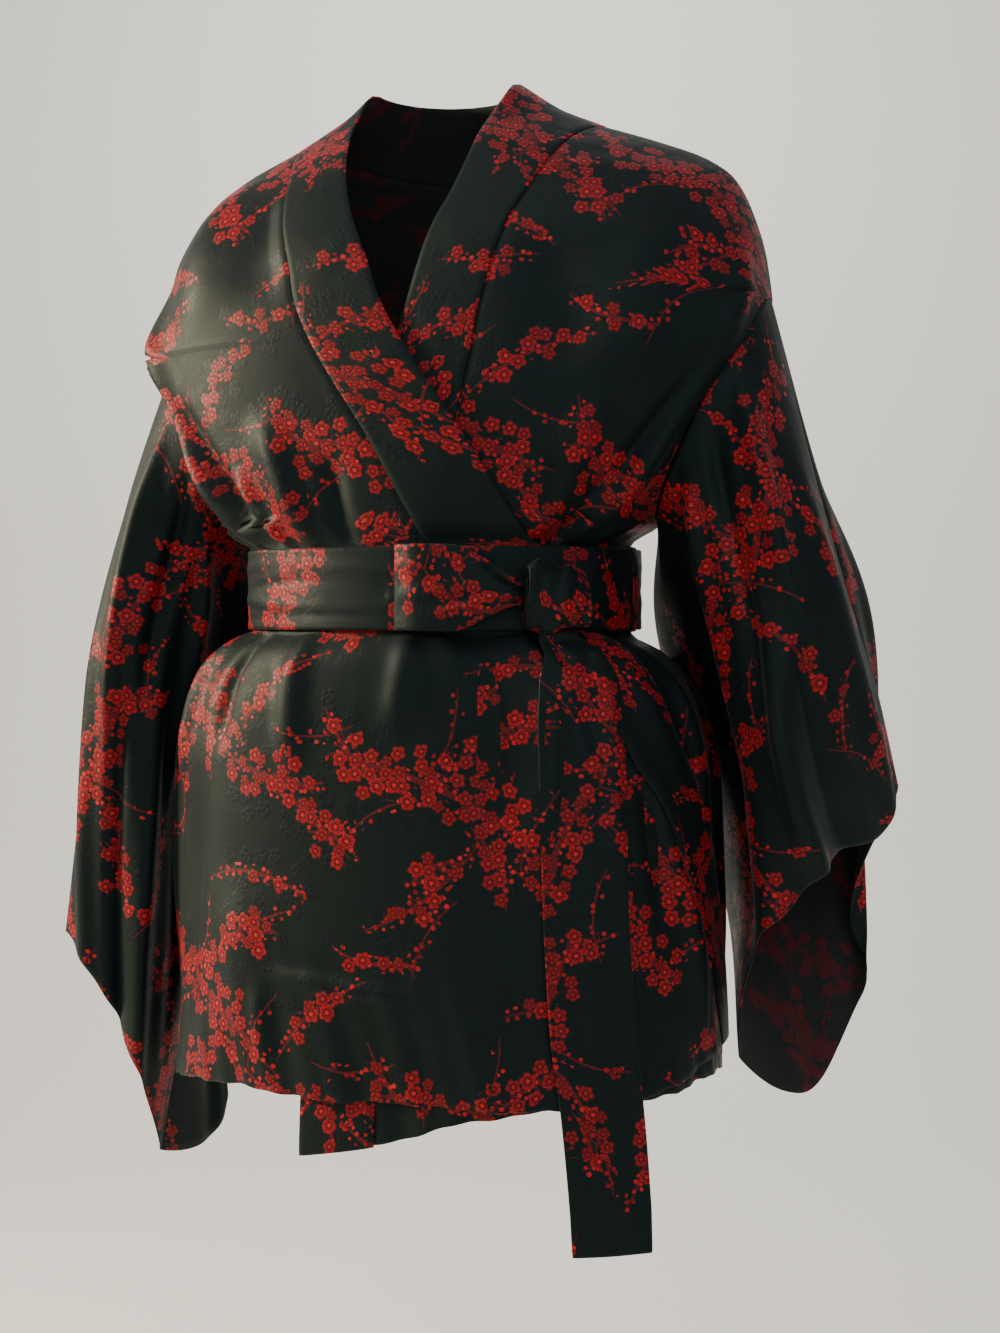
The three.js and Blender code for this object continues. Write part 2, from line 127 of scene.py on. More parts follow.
# Tables and curves
# A table is named columns over a few rows, one row for each section
def table(names, rows):
    return dict(zip(names.split(), np.array(rows, float).T))


# Smooth curve through a table: cubic pieces, the slope at a row is the harmonic mean of both sides' slopes
def along(rows, key, column, at):
    order = np.argsort(rows[key])
    xs, ys = rows[key][order], rows[column][order]
    rise = np.diff(ys) / np.diff(xs)
    before, after = rise[:-1], rise[1:]
    same = before * after > 0
    middle = np.where(same, 2 * before * after / np.where(same, before + after, 1), 0)
    slope = np.concatenate([rise[:1], middle, rise[-1:]])
    at = np.clip(at, xs[0], xs[-1])
    i = np.clip(np.searchsorted(xs, at) - 1, 0, len(xs) - 2)
    step = xs[i + 1] - xs[i]
    t = (at - xs[i]) / step
    return (ys[i] * (1 + 2 * t) * (1 - t) ** 2 + slope[i] * step * t * (1 - t) ** 2
            + ys[i + 1] * t * t * (3 - 2 * t) + slope[i + 1] * step * t * t * (t - 1))


def fade(a, b, v):
    t = np.clip((np.asarray(v, float) - a) / (b - a), 0, 1)
    return t * t * (3 - 2 * t)


def unit(v):
    return v / np.maximum(np.linalg.norm(v, axis=-1, keepdims=True), 1e-9)


# The worn body's form
bodySections = table("z half shift front back mid square", [
    [15, 59, 0, 22, 60, 12, 2.0], [-8, 90, 3, 42, 74, 16, 1.8], [-22, 122, 5, 58, 80, 19, 1.6],
    [-36, 160, 8, 74, 84, 21, 1.5], [-52, 197, 10, 87, 87, 22, 1.55], [-68, 216, 12, 95, 90, 22, 1.8],
    [-90, 228, 12, 104, 92, 21, 2.1], [-130, 240, 12, 117, 94, 19, 2.4], [-190, 247, 11, 126, 96, 16, 2.4],
    [-230, 233, 8, 128, 95, 14, 2.4], [-262, 216, 5, 127, 94, 12, 2.4], [-300, 194, 2, 123, 94, 8, 2.3],
    [-330, 172, 0, 117, 97, 5, 2.2], [-346, 148.5, 0, 110.5, 100.5, 2, 2.2], [-360, 148, 0, 110, 100, 2, 2.2],
    [-384, 148, 0, 110, 100, 2, 2.2], [-402, 148, 0, 110, 100, 2, 2.2], [-414, 149, 0, 110.5, 101, 2, 2.2],
    [-428, 171, 0, 119, 109, 2, 2.2], [-446, 189, 0, 125, 116, 3, 2.2], [-474, 202, 0, 129, 122, 4, 2.2],
    [-520, 211, 0, 131, 126, 5, 2.2], [-600, 214, 0, 133, 128, 6, 2.2], [-700, 218, 0, 135, 128, 6, 2.2],
    [-830, 226, 0, 138, 130, 6, 2.2],
])
overEdge = table("z x", [[15, -59], [-22, -63], [-60, -55], [-102, -40], [-138, -22], [-165, -11], [-192, 5],
                         [-272, 60], [-350, 104]])
overTurn = table("z edge band", [[-350, 43, 28], [-380, 52, 22], [-400, 62, 23], [-428, 66, 21], [-462, 67, 19],
                                 [-505, 71, 18], [-540, 79, 18], [-600, 89, 18], [-830, 118, 20]])
underEdge = table("z x", [[15, 58], [-27, 47], [-53, 44], [-84, 36], [-105, 27], [-128, 20], [-167, 11],
                          [-200, 3], [-272, -12], [-350, -26], [-600, -58], [-748, -67], [-830, -57]])
bandWidths = table("z over under", [[-22, 54, 79], [-40, 52, 66], [-60, 52, 60], [-104, 59, 56], [-171, 69, 56],
                                    [-208, 72, 59], [-350, 74, 60], [-830, 66, 60]])
overHem = table("turn z", [[-90, -780], [-40, -756], [35, -757], [65, -742], [90, -726], [125, -722]])
underHem = table("turn z", [[-20, -804], [0, -788], [22, -762], [90, -744]])
backHem = table("turn z", [[90, -744], [180, -768], [270, -780]])
armholes = {
    "right": dict(side=-1, top=-192, underarm=-330, front=59, back=52),
    "left": dict(side=1, top=-160, underarm=-330, front=59, back=52),
}
panelRows = np.array([-22, -34, -48, -66, -92, -128, -160, -192, -230, -266, -300, -330, -346, -362, -384,
                      -402, -414, -428, -446, -474, -520, -590, -670, -750], float)
edgeRows = np.concatenate([[12, -3, -20, -42, -72, -116], panelRows[6:]])
layers = dict(overLift=4.6, seamGap=0.3, cloth=1.1, hemFrom=-474.0, bandRidge=-22.0, bandBack=-42.0,
              bandTop=15.0)


# Point of the form: a squared oval at each height, turn 0 in front, 90 at the wearer's left, 180 behind
def bodyForm(turn, z):
    turn, z = np.broadcast_arrays(np.asarray(turn, float), np.asarray(z, float))
    s, c = np.sin(np.radians(turn)), np.cos(np.radians(turn))
    at = {k: along(bodySections, "z", k, z) for k in ("half", "shift", "front", "back", "mid", "square")}
    n = at["square"]
    r = (np.abs(s) ** n + np.abs(c) ** n) ** (-1 / n)
    depth = np.where(c > 0, at["front"], at["back"])
    return np.stack([at["shift"] + at["half"] * r * s, at["mid"] - depth * r * c, z], -1)


# Outward direction: the cross product of a small step round the form and a small step up it
def bodyNormal(turn, z):
    across = bodyForm(np.asarray(turn) + 0.5, z) - bodyForm(np.asarray(turn) - 0.5, z)
    up = bodyForm(turn, np.asarray(z) + 1) - bodyForm(turn, np.asarray(z) - 1)
    return unit(np.cross(across, up))


def onBody(turn, z, lift=0.0):
    return bodyForm(turn, z) + bodyNormal(turn, z) * np.asarray(lift, float)[..., None]


# Turn of the front point that has a given X, from the oval's own formula solved for the angle
def turnOfX(x, z):
    n = along(bodySections, "z", "square", z)
    offset = x - along(bodySections, "z", "shift", z)
    share = np.clip(np.abs(offset) / along(bodySections, "z", "half", z), 0, 1)
    return np.sign(offset) * np.degrees(np.arctan2(share, (1 - share ** n) ** (1 / n)))


# Middle height and half height of an armhole's oval
def ovalOf(armhole):
    return (armhole["top"] + armhole["underarm"]) / 2, (armhole["top"] - armhole["underarm"]) / 2


# Turn where a panel ends at its side: 90 at a side seam, less where the armhole's oval cuts in
def sideTurn(armhole, z, toBack):
    middle, reach = ovalOf(armhole)
    inside = np.clip(1 - ((z - middle) / reach) ** 2, 0, 1)
    n = along(bodySections, "z", "square", z)
    depth = along(bodySections, "z", "back" if toBack else "front", z)
    share = armhole["back" if toBack else "front"] * np.sqrt(inside) / depth
    turn = np.degrees(np.arctan2((1 - share ** n) ** (1 / n), share))
    return 180 - turn if toBack else turn


# Turns of the front edges and of the neckbands' seams, from their X. From the belt down, the upper front has a
# table of turns instead.
def overEdgeTurn(z):
    upper = turnOfX(along(overEdge, "z", "x", z), z)
    return np.where(z > -350, upper, along(overTurn, "z", "edge", z))


def overSeamTurn(z):
    upper = turnOfX(along(overEdge, "z", "x", z) - along(bandWidths, "z", "over", z), z)
    lower = along(overTurn, "z", "edge", z) - along(overTurn, "z", "band", z)
    return np.where(z > -350, upper, lower)


def underEdgeTurn(z):
    return turnOfX(along(underEdge, "z", "x", z), z)


def underSeamTurn(z):
    return turnOfX(along(underEdge, "z", "x", z) + along(bandWidths, "z", "under", z), z)


# Stretches the rows below the hips evenly, so that the lowest row lies on the hem
def toHem(z, hem):
    low = layers["hemFrom"]
    return np.where(z < low, low + (hem - low) * (z - low) / (panelRows[-1] - low), z)


# How far a front stands off the form: the upper one by a smooth step that dies at the side, the under one not
def overRise(turn):
    return layers["overLift"] * fade(-88, -52, turn)


def noRise(turn):
    return 0 * turn


fronts = {
    "over": dict(edge=overEdgeTurn, seam=overSeamTurn, rise=overRise, hem=overHem, columns=60),
    "under": dict(edge=underEdgeTurn, seam=underSeamTurn, rise=noRise, hem=underHem, columns=36),
}


# Height offset of soft folds: each row is a ridge (or a trough, with a minus) along a straight line on the
# cloth, a bell curve across it, that grows from one end and dies at the other
def foldField(u, v, rows):
    total = np.zeros(np.broadcast(u, v).shape)
    for u0, v0, u1, v1, width, height in rows:
        du, dv = u1 - u0, v1 - v0
        t = ((u - u0) * du + (v - v0) * dv) / (du * du + dv * dv)
        near = np.clip(t, 0, 1)
        away = np.hypot(u - u0 - near * du, v - v0 - near * dv)
        total += height * np.exp(-(away / width) ** 2) * fade(-0.12, 0.3, t) * (1 - fade(0.62, 1.12, t))
    return total


# Folds of the body pieces: turn times 2.9 is millimetres round the body, so u and v are both lengths
aroundTurn = 2.9
foldGain = 2.6
bodyFolds = {
    "front_right": [
        # from turn, z, to turn, z, width, height: the drape beside the arm and the blouse above the belt
        [-68, -150, -47, -345, 15, 7.0], [-58, -215, -38, -350, 10, -4.5], [-80, -235, -62, -345, 9, 4.0],
        [-28, -250, -24, -352, 12, 3.2], [-14, -282, -12, -352, 8, -2.2], [-40, -290, -33, -352, 7, 2.6],
        [4, -270, 12, -352, 10, 2.0], [-52, -60, -44, -180, 22, 2.6], [-30, -75, -30, -165, 18, -2.0],
        [22, -300, 30, -352, 6, 1.6],
        # below the belt
        [-60, -414, -64, -540, 12, 3.6], [-44, -414, -42, -500, 8, -2.6], [-24, -414, -20, -520, 10, 2.4],
        [6, -414, 2, -488, 9, 1.8], [24, -414, 20, -560, 13, -2.4], [38, -420, 30, -610, 12, 2.8],
        [-74, -430, -78, -700, 16, 4.4], [-52, -520, -58, -760, 20, -3.2], [-34, -600, -32, -770, 24, 2.2],
        [56, -430, 60, -640, 9, -2.6], [68, -520, 74, -730, 13, 3.4],
        # the under front's corner presses through near the hem
        [-26, -668, 10, -680, 5, 1.8], [-27, -676, -25, -752, 5, 1.4],
    ],
    "front_left": [
        [70, -140, 54, -340, 15, 7.0], [60, -200, 47, -350, 10, -4.5], [82, -240, 72, -345, 9, 3.6],
        [36, -240, 40, -352, 12, 3.0], [44, -120, 36, -240, 20, 2.6], [24, -120, 28, -230, 16, -2.0],
        [64, -290, 61, -352, 6, 2.2], [50, -280, 52, -352, 6, 2.0], [78, -424, 82, -620, 12, 3.4],
        [10, -740, 16, -800, 16, 1.6],
    ],
    "back": [
        [112, -150, 128, -345, 15, 6.0], [248, -150, 232, -345, 15, 6.0], [146, -230, 150, -352, 12, -3.6],
        [214, -210, 208, -352, 12, -3.4], [166, -260, 168, -352, 8, 3.0], [192, -270, 190, -352, 8, 2.8],
        [180, -90, 180, -260, 26, -2.2], [128, -80, 150, -200, 20, 2.6], [232, -80, 212, -190, 20, 2.8],
        [120, -414, 116, -560, 12, 3.4], [142, -414, 140, -620, 14, -2.8], [160, -414, 162, -540, 10, 2.4],
        [184, -414, 182, -700, 18, 3.0], [204, -414, 206, -580, 11, -2.4], [228, -414, 232, -690, 16, 3.4],
        [250, -424, 252, -760, 14, -3.0], [104, -430, 100, -730, 14, 3.2],
    ],
}


def withFolds(turn, z, rows):
    lengths = [[a * aroundTurn, b, c * aroundTurn, d, w, h] for a, b, c, d, w, h in rows]
    return foldGain * foldField(turn * aroundTurn, z, lengths)


# Lowers the cloth a little along its joined edges, so a seam reads as a shallow groove
def seamDip(s, reach):
    return -0.8 * (1 - fade(0, reach, s))


# How free the cloth is to fold: nothing at the side seam and on the armhole's oval, whole some way off both
def freeOfSide(armhole, turn, z):
    middle, reach = ovalOf(armhole)
    off = np.abs(bodyForm(turn, z)[..., 1] - along(bodySections, "z", "mid", z))
    wide = np.where(np.cos(np.radians(turn)) > 0, armhole["front"], armhole["back"])
    outside = (np.hypot((z - middle) / reach, off / wide) - 1) * wide
    return fade(0, 30, outside) * fade(0, 22, off)


unevenWaves = [(0.5, 0.061, 0.7), (0.3, 0.143, 2.1), (0.2, 0.307, 4.4)]  # share, radians a millimetre, phase


# Small unevenness of a free edge: the sum of a few sine waves of unlike length
def uneven(run, size):
    return size * sum(share * np.sin(run * wave + phase) for share, wave, phase in unevenWaves)


# Draws the borders of a grid in by half the gap that seams keep
def drawnIn(grid, ends=True, tops=True):
    gap = layers["seamGap"] / 2
    grid = grid.copy()
    if ends:
        grid[:, 0] += unit(grid[:, 1] - grid[:, 0]) * gap
        grid[:, -1] += unit(grid[:, -2] - grid[:, -1]) * gap
    if tops:
        grid[0] += unit(grid[1] - grid[0]) * gap
        grid[-1] += unit(grid[-2] - grid[-1]) * gap
    return grid


# Flat cut
# Weights that carry values from a few picked rows to all rows, straight between neighbours
def spreadOut(count, picked):
    return np.stack([np.interp(np.arange(count), picked, row) for row in np.eye(len(picked))], -1)


# Flattens a coarse copy of a grid with as little stretch as possible: every triangle is turned to fit the
# cut so far, then all corners are moved to agree with their triangles, again and again. The result is the
# pattern piece that the maker would cut, and the woven design is drawn on it.
def flatCut(grid, rounds=30, most=22):
    rows, columns = grid.shape[:2]
    pickRows = np.unique(np.linspace(0, rows - 1, min(rows, most)).astype(int))
    pickColumns = np.unique(np.linspace(0, columns - 1, min(columns, most)).astype(int))
    coarse = grid[np.ix_(pickRows, pickColumns)]
    r, c = coarse.shape[:2]
    p = coarse.reshape(-1, 3)
    index = np.arange(r * c).reshape(r, c)
    a, b, d, e = (x.ravel() for x in (index[:-1, :-1], index[:-1, 1:], index[1:, 1:], index[1:, :-1]))
    faces = np.concatenate([np.stack([a, b, d], -1), np.stack([a, d, e], -1)])
    first, second = p[faces[:, 1]] - p[faces[:, 0]], p[faces[:, 2]] - p[faces[:, 0]]
    length = np.maximum(np.linalg.norm(first, axis=1), 0.05)
    x2 = (first * second).sum(1) / length
    y2 = np.maximum(np.linalg.norm(np.cross(first, second), axis=1) / length, 0.05)
    zero = np.zeros_like(length)
    rest = np.stack([np.stack([zero, zero], -1), np.stack([length, zero], -1), np.stack([x2, y2], -1)], 1)
    weights, matrix = [], np.zeros((r * c, r * c))
    for k in range(3):
        i, j, o = k, (k + 1) % 3, (k + 2) % 3
        one, two = rest[:, i] - rest[:, o], rest[:, j] - rest[:, o]
        spread = np.abs(one[:, 0] * two[:, 1] - one[:, 1] * two[:, 0])
        weight = np.clip((one * two).sum(1) / np.maximum(spread, 1e-3), 0.02, 8) / 2
        weights.append(weight)
        np.add.at(matrix, (faces[:, i], faces[:, i]), weight)
        np.add.at(matrix, (faces[:, j], faces[:, j]), weight)
        np.add.at(matrix, (faces[:, i], faces[:, j]), -weight)
        np.add.at(matrix, (faces[:, j], faces[:, i]), -weight)
    matrix[0, 0] += 1
    inverse = np.linalg.inv(matrix)
    wide = np.concatenate([np.zeros((r, 1)), np.cumsum(np.linalg.norm(np.diff(coarse, axis=1), axis=-1), 1)], 1)
    wide -= wide.mean(1, keepdims=True)
    tall = np.concatenate([[0], np.cumsum(np.linalg.norm(np.diff(coarse, axis=0), axis=-1).mean(1))])
    cut = np.stack([wide, np.repeat(tall[:, None], c, 1)], -1).reshape(-1, 2)
    for _ in range(rounds):
        now = cut[faces]
        cross, dot = 0, 0
        for k in range(3):
            j = (k + 1) % 3
            was, new = rest[:, k] - rest[:, j], now[:, k] - now[:, j]
            cross = cross + weights[k] * (was[:, 0] * new[:, 1] - was[:, 1] * new[:, 0])
            dot = dot + weights[k] * (was * new).sum(1)
        angle = np.arctan2(cross, dot)
        co, si = np.cos(angle)[:, None], np.sin(angle)[:, None]
        target = np.zeros((r * c, 2))
        for k in range(3):
            j = (k + 1) % 3
            was = rest[:, k] - rest[:, j]
            turned = np.concatenate([co * was[:, :1] - si * was[:, 1:], si * was[:, :1] + co * was[:, 1:]], 1)
            np.add.at(target, faces[:, k], weights[k][:, None] * turned)
            np.add.at(target, faces[:, j], -weights[k][:, None] * turned)
        cut = inverse @ target
    cut = cut.reshape(r, c, 2)
    down = unit(cut[-1].mean(0) - cut[0].mean(0))
    lower = cut[..., 0] * down[0] + cut[..., 1] * down[1]
    cut = np.stack([cut[..., 0] * down[1] - cut[..., 1] * down[0], -lower], -1)
    q = cut.reshape(-1, 2)
    one, two = q[faces[:, 1]] - q[faces[:, 0]], q[faces[:, 2]] - q[faces[:, 0]]
    area = np.abs(one[:, 0] * two[:, 1] - one[:, 1] * two[:, 0]).sum() / 2
    size = (np.ptp(q[:, 0]) * mm, np.ptp(q[:, 1]) * mm)
    full = np.einsum("ij,jkd,lk->ild", spreadOut(rows, pickRows), cut, spreadOut(columns, pickColumns))
    return full, size, area * mm * mm


# Meshes
# Outward direction at each point: the cross product of the steps to its neighbours across and down
def gridNormals(grid, looped=False):
    if looped:
        across = np.roll(grid, -1, 1) - np.roll(grid, 1, 1)
    else:
        across = np.gradient(grid, axis=1)
    return unit(np.cross(across, -np.gradient(grid, axis=0)))


# A cloth wall: the grid moved half a thickness to both sides of its middle, and between their borders a
# rounded edge. The right side has material 0 and the wrong side has material 1.
def clothPiece(name, grid, cut, cloth, thickness=None, looped=False, normals=None):
    half = (thickness or layers["cloth"]) / 2
    rows, columns = grid.shape[:2]
    normals = gridNormals(grid, looped) if normals is None else normals
    outer, inner = grid + normals * half, grid - normals * half
    places = [outer.reshape(-1, 3), inner.reshape(-1, 3)]
    count = rows * columns
    index = np.arange(count).reshape(rows, columns)
    spans = columns if looped else columns - 1
    left, right = index[:, :spans], np.roll(index, -1, 1)[:, :spans] if looped else index[:, 1:]
    outside = np.stack([left[:-1], left[1:], right[1:], right[:-1]], -1).reshape(-1, 4)
    inside = outside[:, ::-1] + count
    cutColumns = cut.shape[1]
    cutIndex = np.arange(rows * cutColumns).reshape(rows, cutColumns)
    cutLeft, cutRight = cutIndex[:, :spans], cutIndex[:, 1:spans + 1]
    outsideCut = np.stack([cutLeft[:-1], cutLeft[1:], cutRight[1:], cutRight[:-1]], -1).reshape(-1, 4)
    if looped:
        borders = [(index[0], -1), (index[-1], 1)]
        cutBorders = [cutIndex[0, :columns], cutIndex[-1, :columns]]
    else:
        ring = np.concatenate([index[0, ::-1], index[1:, 0], index[-1, 1:], index[-2:0:-1, -1]])
        borders, cutBorders = [(ring, 1)], [ring]
    faces, cuts, kinds = [outside, inside], [outsideCut, outsideCut[:, ::-1]], [0, 1]
    base = 2 * count
    flatGrid = grid.reshape(-1, 3)
    inward = np.zeros((rows, columns, 3))
    inward[0] += unit(grid[1] - grid[0])
    inward[-1] += unit(grid[-2] - grid[-1])
    if not looped:
        inward[:, 0] += unit(grid[:, 1] - grid[:, 0])
        inward[:, -1] += unit(grid[:, -2] - grid[:, -1])
    inward = unit(inward).reshape(-1, 3)
    for (ring, way), cutRing in zip(borders, cutBorders):
        n = len(ring)
        places.append(flatGrid[ring] - inward[ring] * half)
        middle = base + np.arange(n)
        base += n
        nextRing, nextMiddle, nextCut = np.roll(ring, -1), np.roll(middle, -1), np.roll(cutRing, -1)
        upper = np.stack([ring, middle, nextMiddle, nextRing], -1)
        lower = np.stack([middle, ring + count, nextRing + count, nextMiddle], -1)
        upperCut = np.stack([cutRing, cutRing, nextCut, nextCut], -1)
        if way < 0:
            upper, lower, upperCut = upper[:, ::-1], lower[:, ::-1], upperCut[:, ::-1]
        faces += [upper, lower]
        cuts += [upperCut, upperCut]
        kinds += [0, 0]
    mesh = bpy.data.meshes.new(name)
    allFaces = np.concatenate(faces)
    mesh.from_pydata((np.concatenate(places) * mm).tolist(), [], allFaces.tolist())
    for material in cloths[cloth]:
        mesh.materials.append(material)
    kind = np.concatenate([np.full(len(f), k) for f, k in zip(faces, kinds)])
    mesh.polygons.foreach_set("material_index", kind.astype(np.int32))
    mesh.polygons.foreach_set("use_smooth", np.ones(len(kind), bool))
    layer = mesh.uv_layers.new(name="cut")
    corners = np.concatenate(cuts).ravel()
    layer.data.foreach_set("uv", (cut.reshape(-1, 2)[corners] * mm).astype(np.float32).ravel())
    for field, values in zip(("bough", "twig"), designValues(cut, weaves[cloth])):
        stored = mesh.attributes.new(field, "FLOAT_VECTOR", "CORNER")
        stored.data.foreach_set("vector", values[corners].astype(np.float32).ravel())
    mesh.update()
    piece = bpy.data.objects.new(name + "_cloth", mesh)
    bpy.context.collection.objects.link(piece)
    return piece


# A straight strip's cut: mean distances across it and along it
def stripCut(grid):
    wide = np.linalg.norm(np.diff(grid, axis=1), axis=-1).mean(0)
    tall = np.linalg.norm(np.diff(grid, axis=0), axis=-1).mean(1)
    across = np.concatenate([[0], np.cumsum(wide)]) - wide.sum() / 2
    down = -np.concatenate([[0], np.cumsum(tall)])
    cut = np.stack(np.broadcast_arrays(across[None, :], down[:, None]), -1)
    return cut, (wide.sum() * mm, tall.sum() * mm), None


# Shader sums
# A socket that can stand in sums. Its node method makes any other node of the same tree: the type and the
# settings first, then the values and links of its sockets.
class Wire:
    def __init__(self, tree, socket=None):
        self.tree, self.socket = tree, socket

    def node(self, kind, settings=None, inputs=None):
        made = self.tree.nodes.new(kind)
        for key, value in (settings or {}).items():
            setattr(made, key, value)
        for key, value in (inputs or {}).items():
            if isinstance(value, Wire):
                self.tree.links.new(value.socket, made.inputs[key])
            else:
                made.inputs[key].default_value = value
        return {out.name: Wire(self.tree, out) for out in made.outputs if out.enabled}

    def math(self, kind, *terms):
        return self.node("ShaderNodeMath", {"operation": kind}, dict(enumerate(terms)))["Value"]

    def vector(self, kind, *terms):
        return self.node("ShaderNodeVectorMath", {"operation": kind}, dict(enumerate(terms)))["Vector"]

    def __add__(self, other):
        return self.math("ADD", self, other)

    def __radd__(self, other):
        return self.math("ADD", other, self)

    def __sub__(self, other):
        return self.math("SUBTRACT", self, other)

    def __rsub__(self, other):
        return self.math("SUBTRACT", other, self)

    def __mul__(self, other):
        return self.math("MULTIPLY", self, other)

    def __rmul__(self, other):
        return self.math("MULTIPLY", other, self)

    def __truediv__(self, other):
        return self.math("DIVIDE", self, other)

    def __rtruediv__(self, other):
        return self.math("DIVIDE", other, self)

    def step(self, low, high):
        values = {"Value": self, "From Min": low, "From Max": high}
        return self.node("ShaderNodeMapRange", {"interpolation_type": "SMOOTHSTEP"}, values)["Result"]

    def mixed(self, a, b):
        return self.node("ShaderNodeMix", {"data_type": "RGBA"}, {0: self, 6: a, 7: b})["Result"]

    def parts(self):
        made = self.node("ShaderNodeSeparateXYZ", {}, {"Vector": self})
        return made["X"], made["Y"], made["Z"]


# The woven design: boughs with plum blossom
# One repeat, with a half drop. Each stroke is a bent twig in millimetres: middle x and y, angle in degrees,
# length, bend, and how far from it blossom grows.
design = dict(
    width=236, height=250,
    boughs=[
        (78, 150, -34, 186, 15, 29), (176, 80, -24, 108, -10, 23), (130, 192, 24, 122, 10, 15),
        (56, 98, 30, 104, -8, 15), (198, 134, 32, 92, 8, 14), (28, 200, -52, 90, -10, 19),
        (208, 28, -48, 78, 8, 18), (108, 106, -74, 60, 6, 14), (16, 54, -12, 66, -8, 13),
        (152, 238, -14, 94, 10, 14), (146, 128, 58, 64, 5, 3), (88, 208, 66, 58, -5, 3),
        (60, 60, 52, 60, 6, 3), (222, 100, -6, 60, -6, 4), (30, 152, 20, 56, 6, 4),
        (112, 136, -30, 58, 6, 34), (20, 190, -40, 44, 4, 27), (192, 62, -20, 46, 4, 27),
        (150, 198, 10, 40, 4, 21), (66, 108, 20, 40, 4, 20), (226, 14, -30, 40, 4, 24),
    ],
    twigHalf=0.5, twigGrow=0.066,
    # cell is the spacing, half is a blossom's radius, limit is how far past a bough it grows, and seed shifts
    # the cells
    blossom=dict(cell=12.4, half=6.9, limit=0, seed=0), bud=dict(cell=7.0, half=2.0, limit=5, seed=41),
    shadow=dict(cell=16.0, half=8.0, limit=15, seed=83),
)
satin = dict(
    ground=(0.0020, 0.0058, 0.0050, 1), blossom=(0.20, 0.0022, 0.0055, 1), blossomLight=(0.66, 0.014, 0.022, 1),
    outline=(0.026, 0.0010, 0.0022, 1), twig=(0.105, 0.0040, 0.0080, 1), shadow=(0.0026, 0.0030, 0.0062, 1),
    groundRough=0.55, threadRough=0.46, shadowRough=0.50, specular=0.17, specularTint=(0.78, 1.0, 0.93, 1),
    sheen=0.05, sheenRough=0.4,
)
wrongSide = dict(ground=(0.017, 0.017, 0.016, 1), thread=(0.085, 0.010, 0.012, 1), rough=0.75)


# How each cloth carries the design: turned a quarter or not, and where the cut starts in the repeat
weaves = {
    "body": dict(turned=False, offset=(0, 0)), "sleeve": dict(turned=True, offset=(60, 40)),
    "band": dict(turned=False, offset=(120, 70)), "belt": dict(turned=True, offset=(10, 90)),
}


def wrapped(v, size):
    return (v + size / 2) % size - size / 2


# Distance from a point to the nearest bough less how far blossom grows from it, and the signed and the plain
# distance to the middle line of the nearest twig. The point is carried into the repeat around each stroke
# and turned into the stroke's own axes, where the stroke is a parabola.
def boughField(x, y, d=design):
    spread = np.full(x.shape, 1e9)
    signed, plain, thick = spread.copy(), spread.copy(), 0 * spread
    for middleX, middleY, angle, length, bend, reach in d["boughs"]:
        localX = wrapped(x - middleX, d["width"])
        column = (x - middleX - localX) / d["width"]
        localY = wrapped(y - middleY - column * d["height"] / 2, d["height"])
        co, si = math.cos(math.radians(angle)), math.sin(math.radians(angle))
        ahead = localX * co + localY * si
        aside = localY * co - localX * si - (1 - (2 * ahead / length) ** 2) * bend
        past = np.maximum(np.abs(ahead) - length / 2, 0)
        away = np.hypot(past, aside)
        ends = np.minimum((2 * ahead / length) ** 2, 1.2)
        spread = np.minimum(spread, away - reach * (1 - 0.85 * ends))
        nearer = away < plain
        signed, plain = np.where(nearer, aside, signed), np.where(nearer, away, plain)
        thick = np.where(nearer, d["twigHalf"] + d["twigGrow"] * reach * (1 - ends), thick)
    return spread, signed, plain, thick


# The field at points of a cut, with its slope, for the shader to read between them
def designValues(cut, weave):
    x, y = cut[..., 0].ravel(), cut[..., 1].ravel()
    if weave["turned"]:
        x, y = -y, x
    x, y = x + weave["offset"][0], y + weave["offset"][1]
    spread, signed, plain, thick = boughField(x, y)
    slopeX = boughField(x + 0.5, y)[0] - boughField(x - 0.5, y)[0]
    slopeY = boughField(x, y + 0.5)[0] - boughField(x, y - 0.5)[0]
    return np.stack([spread, slopeX, slopeY], -1), np.stack([signed, plain, thick], -1)


# Blossom round the middles of a cell pattern: five petals, outline where the radius nears the petal's rim
# R(angle) = R0 (0.7 + 0.3 |cos 2.5 angle|), and whole blossoms are kept where their middle is near a bough
def blossoms(point, bough, kind):
    half, limit, shift = kind["half"], kind["limit"], (kind["seed"], kind["seed"] * 1.7, 0)
    moved = point.vector("ADD", point, shift)
    voronoi = point.node("ShaderNodeTexVoronoi", {"voronoi_dimensions": "2D", "feature": "F1"},
                         {"Vector": moved, "Scale": 1 / kind["cell"], "Randomness": 0.72})
    middle = point.vector("SUBTRACT", voronoi["Position"], shift)
    random = point.node("ShaderNodeSeparateColor", {}, {"Color": voronoi["Color"]})
    local = point.vector("SUBTRACT", point, middle)
    x, y, _ = local.parts()
    radius = point.node("ShaderNodeVectorMath", {"operation": "LENGTH"}, {0: local})["Value"]
    angle = x.math("ARCTAN2", y, x) + random["Red"] * 6.283
    wave = (angle * 2.5).math("COSINE", angle * 2.5)
    petal = wave.math("ABSOLUTE", wave)
    rim = (0.70 + petal * 0.30) * (half * (0.72 + random["Green"] * 0.34))
    spread, slopeX, slopeY = bough
    kept = (spread - slopeX * x - slopeY * y + random["Blue"] * 9).step(limit + 0.05, limit - 0.05)
    inside = (rim - radius).step(-0.12, 0.12)
    edge = (rim - radius).step(1.5, 0.7)
    split = (petal * radius).step(1.3, 0.6) * radius.step(1.6, 2.4)
    ring = radius - half * 0.3
    heart = ring.math("ABSOLUTE", ring).step(0.6, 0.2)
    lines = edge.math("MAXIMUM", edge.math("MAXIMUM", edge, split), heart)
    return inside * kept, lines, random["Green"], (rim - radius) / half


